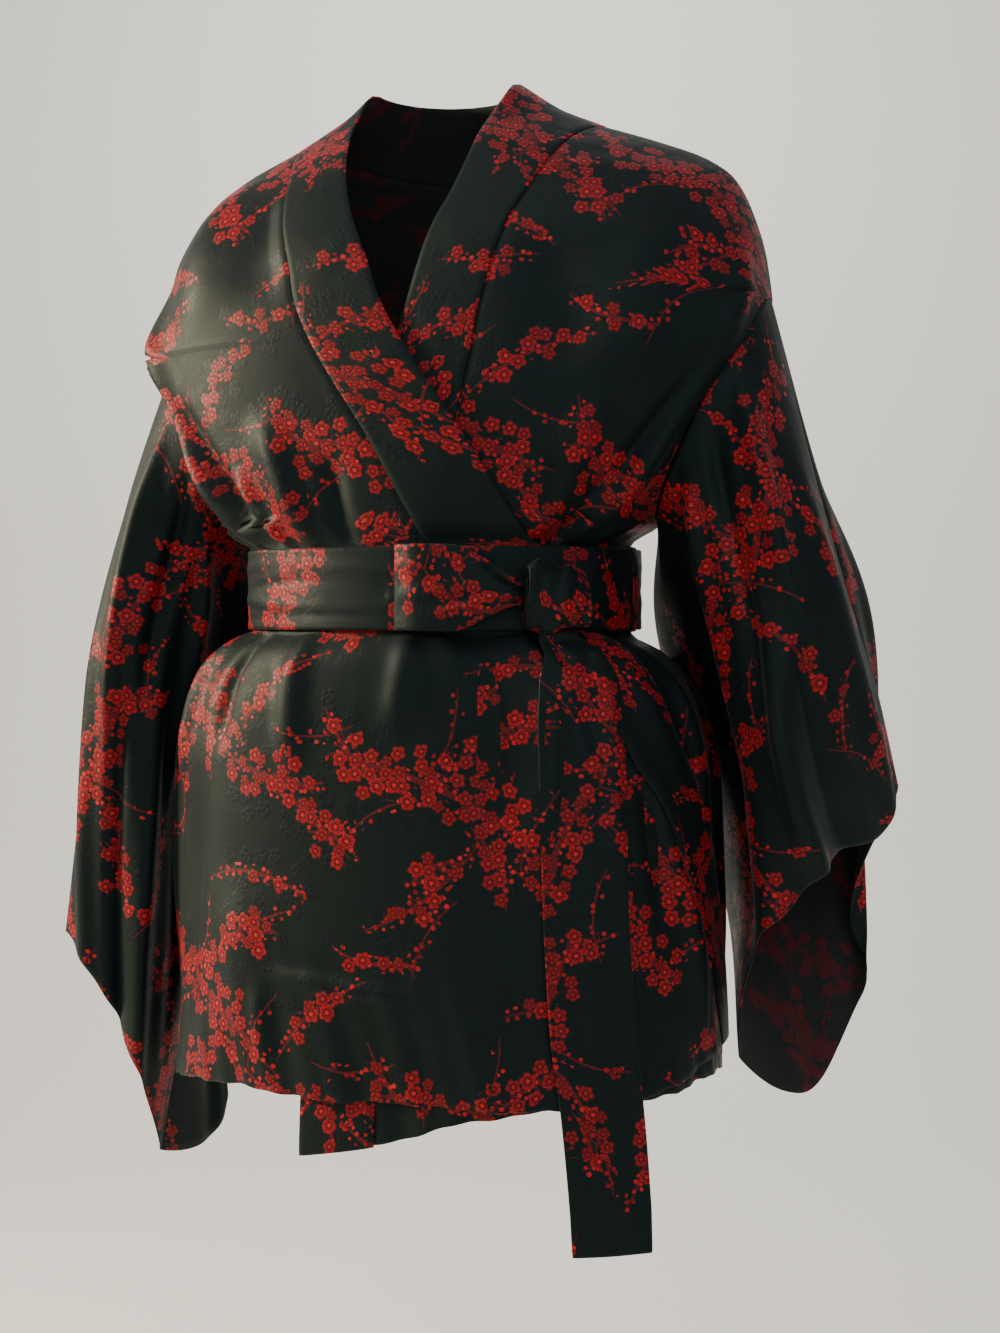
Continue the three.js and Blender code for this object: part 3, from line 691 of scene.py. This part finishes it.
# Right side: satin ground with woven blossom, and the wrong side with the same design dulled and mirrored
def makeCloth(name, weave, v, back=None):
    material = bpy.data.materials.new(name)
    material.use_nodes = True
    tree = material.node_tree
    shader = tree.nodes["Principled BSDF"]
    start = Wire(tree)
    cut = start.node("ShaderNodeUVMap", {"uv_map": "cut"})["UV"]
    quarter = math.pi / 2 if weave["turned"] else 0
    mapping = {"Vector": cut, "Scale": (1000, 1000, 1000), "Rotation": (0, 0, quarter),
               "Location": (*weave["offset"], 0)}
    point = start.node("ShaderNodeMapping", {}, mapping)["Vector"]
    bough = start.node("ShaderNodeAttribute", {"attribute_name": "bough"})["Vector"].parts()
    signed, plain, thick = start.node("ShaderNodeAttribute", {"attribute_name": "twig"})["Vector"].parts()
    slub = start.node("ShaderNodeTexNoise", {"noise_dimensions": "2D"},
                      {"Vector": point, "Scale": 0.55, "Detail": 1.0})["Fac"]
    across = signed + (slub - 0.5) * 1.3
    twig = (across.math("ABSOLUTE", across) - thick).step(0.25, -0.2) * plain.step(5, 3)
    bloom, lines, tone, share = blossoms(point, bough, design["blossom"])
    buds, _, _, _ = blossoms(point, bough, design["bud"])
    buds = buds * plain.step(6.5, 5.5)
    dim, dimLines, _, _ = blossoms(point, bough, design["shadow"])
    thread = bloom.math("MAXIMUM", bloom, buds)
    dim = dim * (1 - thread)
    twig = twig * (1 - bloom)
    twill = start.node("ShaderNodeTexWave", {"bands_direction": "DIAGONAL"},
                       {"Vector": point, "Scale": 0.42, "Distortion": 1.2, "Detail": 1.0,
                        "Detail Scale": 0.3})["Fac"]
    crumple = start.node("ShaderNodeTexNoise", {"noise_dimensions": "2D"},
                         {"Vector": point, "Scale": 0.022, "Detail": 1.5, "Roughness": 0.4,
                          "Distortion": 0.5})["Fac"]
    if back is None:
        petals = share.step(0.44, 0.10) * (0.15 + tone * 0.65)
        red = petals.math("MAXIMUM", petals, share.step(0.66, 0.78)).mixed(v["blossom"], v["blossomLight"])
        ground = dim.mixed(v["ground"], v["shadow"])
        ground = (dim * dimLines).mixed(ground, v["ground"])
        color = twig.mixed(ground, v["twig"])
        color = thread.mixed(color, (lines * bloom * 0.85).mixed(red, v["outline"]))
        rough = v["groundRough"] + dim * (v["shadowRough"] - v["groundRough"])
        rough = rough + thread * (v["threadRough"] - v["groundRough"])
        rough = rough + (slub - 0.5) * 0.10 + (crumple - 0.5) * 0.12
    else:
        color = (thread * 0.8).mixed(back["ground"], back["thread"])
        color = (twig * 0.5).mixed(color, back["thread"])
        rough = back["rough"] + (slub - 0.5) * 0.1
    relief = crumple * 0.8 + twill * 0.09 + thread * 0.24 + dim * (0.16 - dimLines * 0.1)
    relief = relief - lines * bloom * 0.14 + slub * 0.08
    bump = start.node("ShaderNodeBump", {}, {"Strength": 0.8, "Distance": mm, "Height": relief})["Normal"]
    tree.links.new(color.socket, shader.inputs["Base Color"])
    tree.links.new(rough.socket, shader.inputs["Roughness"])
    tree.links.new(bump.socket, shader.inputs["Normal"])
    shader.inputs["Specular IOR Level"].default_value = v["specular"]
    shader.inputs["Specular Tint"].default_value = v["specularTint"]
    shader.inputs["Sheen Weight"].default_value = v["sheen"]
    shader.inputs["Sheen Roughness"].default_value = v["sheenRough"]
    return material


cloths = {name: [makeCloth(name + "Satin", weave, satin),
                 makeCloth(name + "WrongSide", weave, satin, wrongSide)]
          for name, weave in weaves.items()}
print("materials are made")


# Pieces
# Rows between the named ones: each span is cut into as many equal steps as keep a step under the longest
def shareRows(longest):
    steps = np.maximum(1, np.ceil(np.abs(np.diff(panelRows)) / longest)).astype(int)
    return np.concatenate([[0]] + [k + np.arange(1, n + 1) / n for k, n in enumerate(steps)])


stepLength = 10.0 / fine
rowShares = shareRows(stepLength)
fineRows = np.interp(rowShares, np.arange(len(panelRows)), panelRows)
fineEdgeRows = np.interp(rowShares, np.arange(len(edgeRows)), edgeRows)


def addPiece(node, piece, size, area):
    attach(piece, "root")
    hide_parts(node)
    if area is not None:
        area = min(area, size[0] * size[1])
    print(node, "flat", [round(s, 3) for s in size], "area", None if area is None else round(area, 4))


# Edges of the body panels. hemWave and ripple are the depths of the hem's unevenness and of the waves above it,
# which grow from rippleFrom to rippleFull. The folds grow from nothing at a seam to whole at seam millimetres
# off it, and from nothing at neck to whole at neckFull. groove is the reach of a seam's dip.
edges = dict(hemWave=2.2, ripple=3.2, rippleFrom=-600, rippleFull=-760, seam=14, groove=4, neck=-22,
             neckFull=-50, backNeckFull=-60)


# Front panel: turn runs from the neckband's seam to the side, z runs down the rows and bends to the hem
def frontPanel(name, front, armhole):
    z = fineRows[:, None]
    s = np.linspace(0, 1, front["columns"] * fine + 1)[None, :]
    start, end = front["seam"](z), armhole["side"] * sideTurn(armhole, z, False)
    turn = start + (end - start) * s
    run = turn * aroundTurn
    height = toHem(z, along(front["hem"], "turn", "z", turn) + uneven(run, edges["hemWave"]))
    ripple = uneven(run + height * 0.2, edges["ripple"]) * fade(edges["rippleFrom"], edges["rippleFull"], z)
    folds = withFolds(turn, height, bodyFolds[name]) + ripple
    width = np.abs(end - start) * aroundTurn
    settled = fade(0, edges["seam"], s * width) * freeOfSide(armhole, turn, z)
    settled = settled * fade(edges["neck"], edges["neckFull"], height)
    lift = front["rise"](turn) + folds * settled + seamDip(s * width, edges["groove"])
    grid = onBody(turn, height, lift)
    if armhole["side"] < 0:
        grid = grid[:, ::-1]
    grid = drawnIn(grid)
    cut, size, area = flatCut(grid)
    piece = clothPiece(name, grid, cut, "body")
    addPiece(name, piece, size, area)


# How far the back's top edge sinks from the shoulders to its middle, as a smooth step
def backDip(turn):
    return (layers["bandBack"] - layers["bandRidge"]) * fade(0, 1, 1 - np.abs(turn - 180) / 90)


# Back panel: turn runs from side to side behind, z runs down the rows, and the top follows the neck's dip
def backPanel():
    z = fineRows[:, None]
    s = np.linspace(0, 1, 72 * fine + 1)[None, :]
    start, end = sideTurn(armholes["left"], z, True), 360 - sideTurn(armholes["right"], z, True)
    turn = start + (end - start) * s
    hem = along(backHem, "turn", "z", turn) + uneven(turn * aroundTurn, edges["hemWave"])
    height = toHem(z, hem) + backDip(turn) * (1 - fade(22, 120, -z))
    sides = [freeOfSide(armholes[side], turn, z) for side in ("left", "right")]
    settled = np.where(turn < 180, *sides) * fade(edges["neck"], edges["backNeckFull"], z)
    lift = withFolds(turn, height, bodyFolds["back"]) * settled
    grid = drawnIn(onBody(turn, height, lift))
    cut, size, area = flatCut(grid)
    piece = clothPiece("back", grid, cut, "body")
    addPiece("back", piece, size, area)


# Neckband: from the middle of the back over the shoulder and down the front edge, edge to seam across
def neckband(name, front, side, thickness=1.7, puff=0.7):
    v = np.linspace(0, 1, 8 * fine + 1)[None, :]
    turns = np.linspace(180, 90, 24 * fine + 1)[:-1, None]
    behindZ = layers["bandTop"] + (layers["bandRidge"] + backDip(turns) - layers["bandTop"]) * v
    rise = puff * np.sin(np.pi * v) ** 0.6
    behind = onBody(side * turns, behindZ, rise + 0 * turns)
    z, edgeZ = fineRows[:, None], fineEdgeRows[:, None]
    start, end = front["edge"](edgeZ), front["seam"](z)
    turn = start + (end - start) * v
    row = edgeZ + (z - edgeZ) * v
    height = toHem(row, along(front["hem"], "turn", "z", turn))
    drag = foldField(v * 60 + 0 * z, height, bandFolds[name])
    before = onBody(turn, height, front["rise"](turn) + rise + drag * fade(1, 0.8, v) * fade(-0.02, 0.1, v))
    grid = np.concatenate([behind, before])
    if side < 0:
        grid = grid[:, ::-1]
    grid = drawnIn(grid)
    cut, size, area = stripCut(grid)
    piece = clothPiece(name, grid, cut, "band", thickness)
    addPiece(name, piece, size, area)


bandFolds = {
    "neckband_right": [[10, -120, 50, -150, 8, 0.8], [5, -200, 50, -240, 9, 0.9], [10, -290, 45, -345, 8, -1.0],
                       [20, -414, 12, -520, 10, 1.6], [44, -430, 30, -640, 11, -1.4],
                       [10, -600, 18, -760, 14, 1.4]],
    "neckband_left": [[10, -110, 45, -130, 8, 0.8], [10, -180, 45, -200, 9, 0.8]],
}

sleeveSections = {
    "right": np.array([
        [[-273, 6, -300], [-226, -50, -372], [-178, 62, -424], [-231, 86, -372]],
        [[-298, -2, -414], [-246, -54, -488], [-214, 64, -552], [-256, 98, -490]],
        [[-314, -12, -532], [-259, -48, -612], [-238, 34, -700], [-262, 92, -632]],
        [[-325, -24, -662], [-266, -36, -744], [-262, 20, -850], [-245, 95, -800]],
    ], float),
    "left": np.array([
        [[284, 20, -272], [240, -48, -352], [156, 66, -404], [246, 88, -350]],
        [[312, 26, -376], [268, -58, -462], [176, 118, -532], [284, 122, -462]],
        [[336, 36, -462], [284, -54, -546], [212, 84, -640], [302, 122, -580]],
        [[350, 44, -528], [294, -42, -597], [240, -8, -732], [314, 108, -703]],
    ], float),
}
still = [0, 0, 0]
# How far a section is pushed out of its round shape, halfway between one of its four points and the next
sleevePushes = {
    "right": np.array([
        [still, [-14, -2, 0], still, still], [still, [-14, -4, 0], still, still],
        [still, still, still, still], [still, still, still, still],
    ], float),
    "left": np.array([
        [still, [18, -2, 0], still, still], [still, [22, -6, 0], still, still],
        [[2, 16, -12], [8, -4, 8], [3, 5, -8], [-16, 3, -8]],
        [[4, 30, -30], [-2, 0, 25], [8, 13, -24], [-40, 8, -23]],
    ], float),
}
# Folds of a sleeve: angle and share of its length from, then to, width and height in millimetres
sleeveFolds = {
    "right": [
        [130, 0.08, 126, 0.6, 9, 8.0], [62, 0.05, 66, 0.6, 12, 6.5], [100, 0.02, 94, 0.5, 12, -6.0],
        [40, 0.3, 46, 1.15, 15, 6.0], [78, 0.42, 84, 1.2, 13, -8.0], [112, 0.36, 104, 1.2, 13, 8.0],
        [148, 0.12, 142, 0.9, 10, -5.0], [240, 0.0, 246, 0.6, 13, 6.5], [290, 0.1, 284, 0.9, 15, -6.5],
        [262, 0.3, 268, 1.2, 16, 6.5], [320, 0.25, 316, 1.0, 14, 5.0], [222, 0.2, 226, 1.1, 12, -5.0],
    ],
    "left": [
        [64, 0.0, 60, 0.5, 10, 7.0], [86, 0.0, 92, 0.55, 9, -6.5], [112, 0.02, 116, 0.55, 10, 7.0],
        [84, 0.42, 82, 1.2, 8, 10.0], [64, 0.36, 60, 1.2, 12, -9.0], [112, 0.4, 114, 1.2, 15, 6.0],
        [138, 0.12, 134, 1.0, 11, -6.0], [32, 0.25, 28, 1.1, 13, 5.5], [244, 0.0, 250, 0.6, 13, 7.0],
        [286, 0.05, 280, 0.8, 15, -7.0], [266, 0.35, 262, 1.2, 17, 7.5], [318, 0.2, 322, 1.0, 14, 5.5],
        [222, 0.2, 218, 1.1, 13, -5.0],
    ],
}
sleeveGain = 1.4
aroundAngle, downSleeve = 1.4, 400.0


# Curve through points, with the slopes that the root of the distances between them gives
def throughPoints(rings, shares):
    first, last = 2 * rings[:1] - rings[1:2], 2 * rings[-1:] - rings[-2:-1]
    p = np.concatenate([first, rings, last])
    at = shares * (len(rings) - 1)
    i = np.clip(at.astype(int), 0, len(rings) - 2)
    t = (at - i)[:, None, None]
    a, b, c, d = p[i], p[i + 1], p[i + 2], p[i + 3]
    ab, bc, cd = (np.sqrt(np.maximum(np.linalg.norm(v - u, axis=-1, keepdims=True), 1e-3))
                  for u, v in ((a, b), (b, c), (c, d)))
    slopeB = ((b - a) / ab - (c - a) / (ab + bc) + (c - b) / bc) * bc
    slopeC = ((c - b) / bc - (d - b) / (bc + cd) + (d - c) / cd) * bc
    return (b * (1 + 2 * t) * (1 - t) ** 2 + slopeB * t * (1 - t) ** 2 + c * t * t * (3 - 2 * t)
            + slopeC * t * t * (t - 1))


# Loops round the arm: the first is the armhole itself, the others pass through four points each. Angle 0 is
# the outer fold, 90 the front, 180 the inner fold, 270 the back.
def sleeve(side):
    armhole = armholes[side]
    around = 96 * fine
    angle = 2 * np.pi * np.arange(around) / around
    middle, reach = ovalOf(armhole)
    z = np.clip(middle + reach * np.cos(angle), armhole["underarm"], armhole["top"])
    places, normals = [], []
    for toBack in (False, True):
        turns = armhole["side"] * sideTurn(armhole, fineRows, toBack)
        edge, out = bodyForm(turns, fineRows), bodyNormal(turns, fineRows)
        places.append(np.stack([np.interp(z, fineRows[::-1], edge[::-1, k]) for k in range(3)], -1))
        normals.append(unit(np.stack([np.interp(z, fineRows[::-1], out[::-1, k]) for k in range(3)], -1)))
    behind = (angle > np.pi + 1e-9)[:, None]
    place, normal = np.where(behind, places[1], places[0]), np.where(behind, normals[1], normals[0])
    clear = 2 * (layers["cloth"] + layers["seamGap"]) * fade(-0.2, 0.4, -np.cos(angle))
    own = fade(0, 0.7, -np.cos(angle))[:, None]
    rings = [place + normal * clear[:, None]]
    co, si = np.cos(angle)[:, None], np.sin(angle)[:, None]
    quarter = (angle / (np.pi / 2)).astype(int)
    for (outer, front, inner, back), push in zip(sleeveSections[side], sleevePushes[side]):
        centre = (outer + inner) / 2
        toward = np.where(si >= 0, front - centre, back - centre)
        round_ = centre + (outer - centre) * co + toward * np.abs(si) ** 1.3
        rings.append(round_ + push[quarter] * np.sin(2 * angle)[:, None] ** 2)
    shares = np.linspace(0, 1, 44 * fine + 1)
    grid = throughPoints(np.array(rings), shares)
    if armhole["side"] > 0:
        grid, normal, own = grid[:, ::-1], normal[::-1], own[::-1]
    degrees = np.degrees(angle if armhole["side"] < 0 else angle[::-1])
    folds = [[a * aroundAngle, b * downSleeve, c * aroundAngle, d * downSleeve, w, h]
             for a, b, c, d, w, h in sleeveFolds[side]]
    field = foldField(degrees[None, :] * aroundAngle, shares[:, None] * downSleeve, folds)
    field = sleeveGain * field * fade(0.0, 0.12, shares)[:, None]
    grid = grid + gridNormals(grid, True) * field[..., None]
    grid[0] += unit(grid[1] - grid[0])
    out = gridNormals(grid, True)
    out[0] = unit(normal + (out[0] - normal) * own)  # the panel's side above, the sleeve's own at the underarm
    # the cut is opened along the inner fold, where the seam is
    half = around // 2
    opened = np.roll(grid, -half, axis=1)
    cut, size, area = flatCut(np.concatenate([opened, opened[:, :1]], 1))
    name = "sleeve_" + side
    piece = clothPiece(name, opened, cut, "sleeve", looped=True, normals=np.roll(out, -half, axis=1))
    addPiece(name, piece, size, area)


# Belt, bow and tail
belt = dict(top=-350.0, width=60.0, lift=8.2, knotTurn=45.0, knotHeight=-384.0, knotHalf=(25.0, 15.0, 29.0),
            foldTurn=3.0, loopHeight=62.0, loopLift=(10.1, 17.0, 24.0), cloth=1.6, loopCloth=1.2, knotCloth=1.1,
            tailCloth=1.4, windFrom=-430, windTo=175, slant=0.55)
aroundWaist = 2.5  # millimetres round the belt for a degree of turn


# Level direction out from the form: its normal without the upward part
def levelOut(turn, z):
    return unit(bodyNormal(turn, z) * np.array([1, 1, 0]))


# Point off the waist, straight out from the section at the knot's height
def offWaist(turn, z, lift):
    turn, z, lift = np.broadcast_arrays(np.asarray(turn, float), np.asarray(z, float), np.asarray(lift, float))
    place = bodyForm(turn, belt["knotHeight"]) + levelOut(turn, belt["knotHeight"]) * lift[..., None]
    return np.stack([place[..., 0], place[..., 1], z], -1)


# Pleats along a band: a sum of soft ridges whose middles drift up and down as they run along it
def pleats(share, run, rows):
    total = 0
    for place, drift, wave, phase, width, height in rows:
        middle = place + drift * np.sin(run * wave + phase)
        swell = 0.62 + 0.38 * np.sin(run * wave * 1.7 + phase * 2)
        total = total + height * np.exp(-((share - middle) / width) ** 2) * swell
    return total


beltPleats = [(0.24, 0.06, 0.021, 0.4, 0.07, 0.9), (0.47, 0.07, 0.026, 2.0, 0.06, -0.9),
              (0.66, 0.05, 0.019, 4.1, 0.07, 1.0), (0.86, 0.03, 0.034, 1.2, 0.05, -0.6)]


# Belt: the waist's section moved out by a set lift and the pleats, and drawn down by the belt's width
def beltRing():
    turn = np.arange(240 * fine)[None, :] * (360 / (240 * fine))
    s = np.linspace(0, 1, 14 * fine + 1)[:, None]
    lift = belt["lift"] + 0.4 + pleats(s, turn * aroundWaist, beltPleats) * fade(0, 0.15, s) * fade(1, 0.85, s)
    grid = offWaist(turn, belt["top"] - belt["width"] * s, lift)
    opened = np.concatenate([grid, grid[:, :1]], 1)
    cut, size, area = stripCut(opened)
    piece = clothPiece("belt", grid, cut, "belt", belt["cloth"], looped=True)
    addPiece("belt", piece, size, area)


loopPleats = [(0.2, 0.04, 0.05, 0.3, 0.08, 1.6), (0.42, 0.05, 0.06, 1.8, 0.07, -1.5),
              (0.62, 0.04, 0.05, 3.0, 0.08, 1.7), (0.84, 0.03, 0.07, 5.0, 0.06, -1.1)]
# Creases where the loop is tucked into the knot, in the columns of the folds above
loopTuck = [[64, 2, 88, 27, 3.5, -3.2], [78, 1, 91, 26, 3.5, 3.4], [30, 50, 86, 33, 5, 2.4],
            [36, 42, 88, 31, 4, -2.6]]


# Loop of the bow: out from the knot along the belt, round its fold and back over itself to the knot
def bowLoop():
    share = np.linspace(-1, 1, 64 * fine + 1)[:, None]
    far = np.abs(share) ** 0.85
    turn = belt["foldTurn"] + (belt["knotTurn"] - 9 - belt["foldTurn"]) * far
    v = np.linspace(0, 1, 14 * fine + 1)[None, :]
    inner, fold, outer = belt["loopLift"]
    side = np.clip(share * 6, -1, 1)
    lift = fold + (outer - inner) / 2 * np.sin(side * np.pi / 2) + (0.5 * (inner + outer) - fold) * np.abs(side)
    narrow = 1 - 0.64 * fade(belt["knotTurn"] - 27, belt["knotTurn"] - 9, turn)
    rise = pleats(v, turn * aroundWaist, loopPleats) * (0.5 + 0.9 * fade(12, 40, turn))
    rise = rise * fade(0, 0.2, v) * fade(1, 0.8, v)
    rise = rise + foldField(turn * aroundWaist, v * 60 + 0 * turn, loopTuck)
    puff = 3.4 * np.sin(np.pi * v) * fade(8, 30, turn) * fade(44, 34, turn)
    lift = lift + np.where(share > 0, rise + puff, -0.4 * rise)
    lift = np.maximum(lift, inner - 0.4) - np.where(share > 0, 7, 0) * fade(33, 40, turn)
    tilt = 4.0 * (1 - fade(4, 40, turn))
    z = belt["knotHeight"] + 3 + tilt * 0.4 + (0.5 - v) * belt["loopHeight"] * narrow
    grid = offWaist(turn, z, lift)[:, ::-1]
    cut, size, area = stripCut(grid)
    piece = clothPiece("bow_loop", grid, cut, "belt", belt["loopCloth"])
    addPiece("bow_loop", piece, size, area)


# Knot: a strip wound round itself, its section an oval that grows as it winds, narrower at its ends
def knotWrap():
    along_, out_, up_ = belt["knotHalf"]
    centre = offWaist(belt["knotTurn"], belt["knotHeight"], belt["lift"] + out_ + 1.0)
    normal = levelOut(belt["knotTurn"], belt["knotHeight"])
    beside = unit(np.cross(normal, [0, 0, -1.0]))
    wind = np.radians(np.linspace(belt["windFrom"], belt["windTo"], 110 * fine + 1))[:, None]
    v = np.linspace(-1, 1, 22 * fine + 1)[None, :]
    grown = 0.42 + 0.56 * fade(math.radians(belt["windFrom"]), math.radians(belt["windTo"]), wind)
    crease = 1 + 0.075 * np.sin(v * 5.5 + wind * 1.5 + 0.6) + 0.035 * np.sin(v * 12 + wind * 2.6)
    waist = 1 - 0.20 * np.abs(v) ** 2.4 - 0.06 * np.sin(v * 2.2 + 0.5)
    size = grown * crease * waist
    slant = belt["slant"] * v
    place = (centre + normal * (out_ * size * np.cos(wind))[..., None]
             + np.array([0, 0, 1.0]) * (-up_ * size * np.sin(wind + slant))[..., None]
             + beside * (along_ * v * (0.9 + 0.06 * np.cos(wind)))[..., None])
    cut, size, area = stripCut(place)
    piece = clothPiece("belt_knot", place, cut, "belt", belt["knotCloth"])
    addPiece("belt_knot", piece, size, area)


tailSections = table("z from to lift", [
    [-412.4, 41, 51, 24], [-428, 38.5, 54, 15], [-446, 34.8, 53.5, 12], [-480, 32.4, 50.6, 11],
    [-520, 31.7, 50, 10.5], [-604, 32, 49.8, 10], [-700, 33, 50.8, 10], [-764, 34.8, 52, 10.5],
    [-861, 36.4, 53.1, 9],
])
tailFolds = [[8, -424, 24, -440, 4, -2.6], [24, -440, 42, -428, 4, -2.6], [14, -452, 30, -520, 6, 2.2],
             [46, -428, 44, -600, 7, 1.8], [6, -440, 12, -560, 6, -1.6], [24, -560, 20, -860, 10, 1.6],
             [42, -640, 40, -870, 9, -1.3]]


# Hanging end: rows down its length, points across it by turn, straight out from the body's form
def tail():
    z = np.linspace(tailSections["z"][0], tailSections["z"][-1], 90 * fine + 1)[:, None]
    v = np.linspace(0, 1, 12 * fine + 1)[None, :]
    start, end = along(tailSections, "z", "from", z), along(tailSections, "z", "to", z)
    turn = start + (end - start) * v
    normal = levelOut(turn, z)
    rise = foldField(v * 50 + 0 * z, z + 0 * v, tailFolds)
    lift = along(tailSections, "z", "lift", z) + rise * fade(0, 0.15, v) * fade(1, 0.85, v)
    grid = bodyForm(turn, z) + normal * lift[..., None]
    cut, size, area = stripCut(grid)
    piece = clothPiece("belt_tail", grid, cut, "belt", belt["tailCloth"])
    addPiece("belt_tail", piece, size, area)


carrier = dict(turn=84, halfTurn=2.5, cloth=0.9, off=0.6)


# Belt carrier: a narrow strip that stands off the belt between its two sewn ends
def beltCarrier():
    low, top = belt["top"] - belt["width"], belt["top"]
    zs = np.array([top + 3, top + 2.2, top + 1.4, top - 6, (top + low) / 2, low + 6, low - 1.4, low - 2.2,
                   low - 3])
    lifts = np.array([2.5, 5.5, 9.4, 11.2, 11.6, 11.2, 9.4, 5.5, 2.5]) + carrier["off"]
    at = np.linspace(0, len(zs) - 1, 32 * fine + 1)
    z, lift = np.interp(at, np.arange(len(zs)), zs)[:, None], np.interp(at, np.arange(len(zs)), lifts)[:, None]
    turn = carrier["turn"] + np.linspace(-carrier["halfTurn"], carrier["halfTurn"], 3 * fine + 1)[None, :]
    grid = offWaist(turn, z, lift + 0 * turn)
    cut, size, area = stripCut(grid)
    piece = clothPiece("belt_carrier", grid, cut, "belt", carrier["cloth"])
    addPiece("belt_carrier", piece, size, area)


backPanel()
frontPanel("front_left", fronts["under"], armholes["left"])
frontPanel("front_right", fronts["over"], armholes["right"])
print("body panels are made")
neckband("neckband_left", fronts["under"], 1)
neckband("neckband_right", fronts["over"], -1)
sleeve("right")
sleeve("left")
print("bands and sleeves are made")
beltRing()
bowLoop()
knotWrap()
tail()
beltCarrier()
print("belt is made")
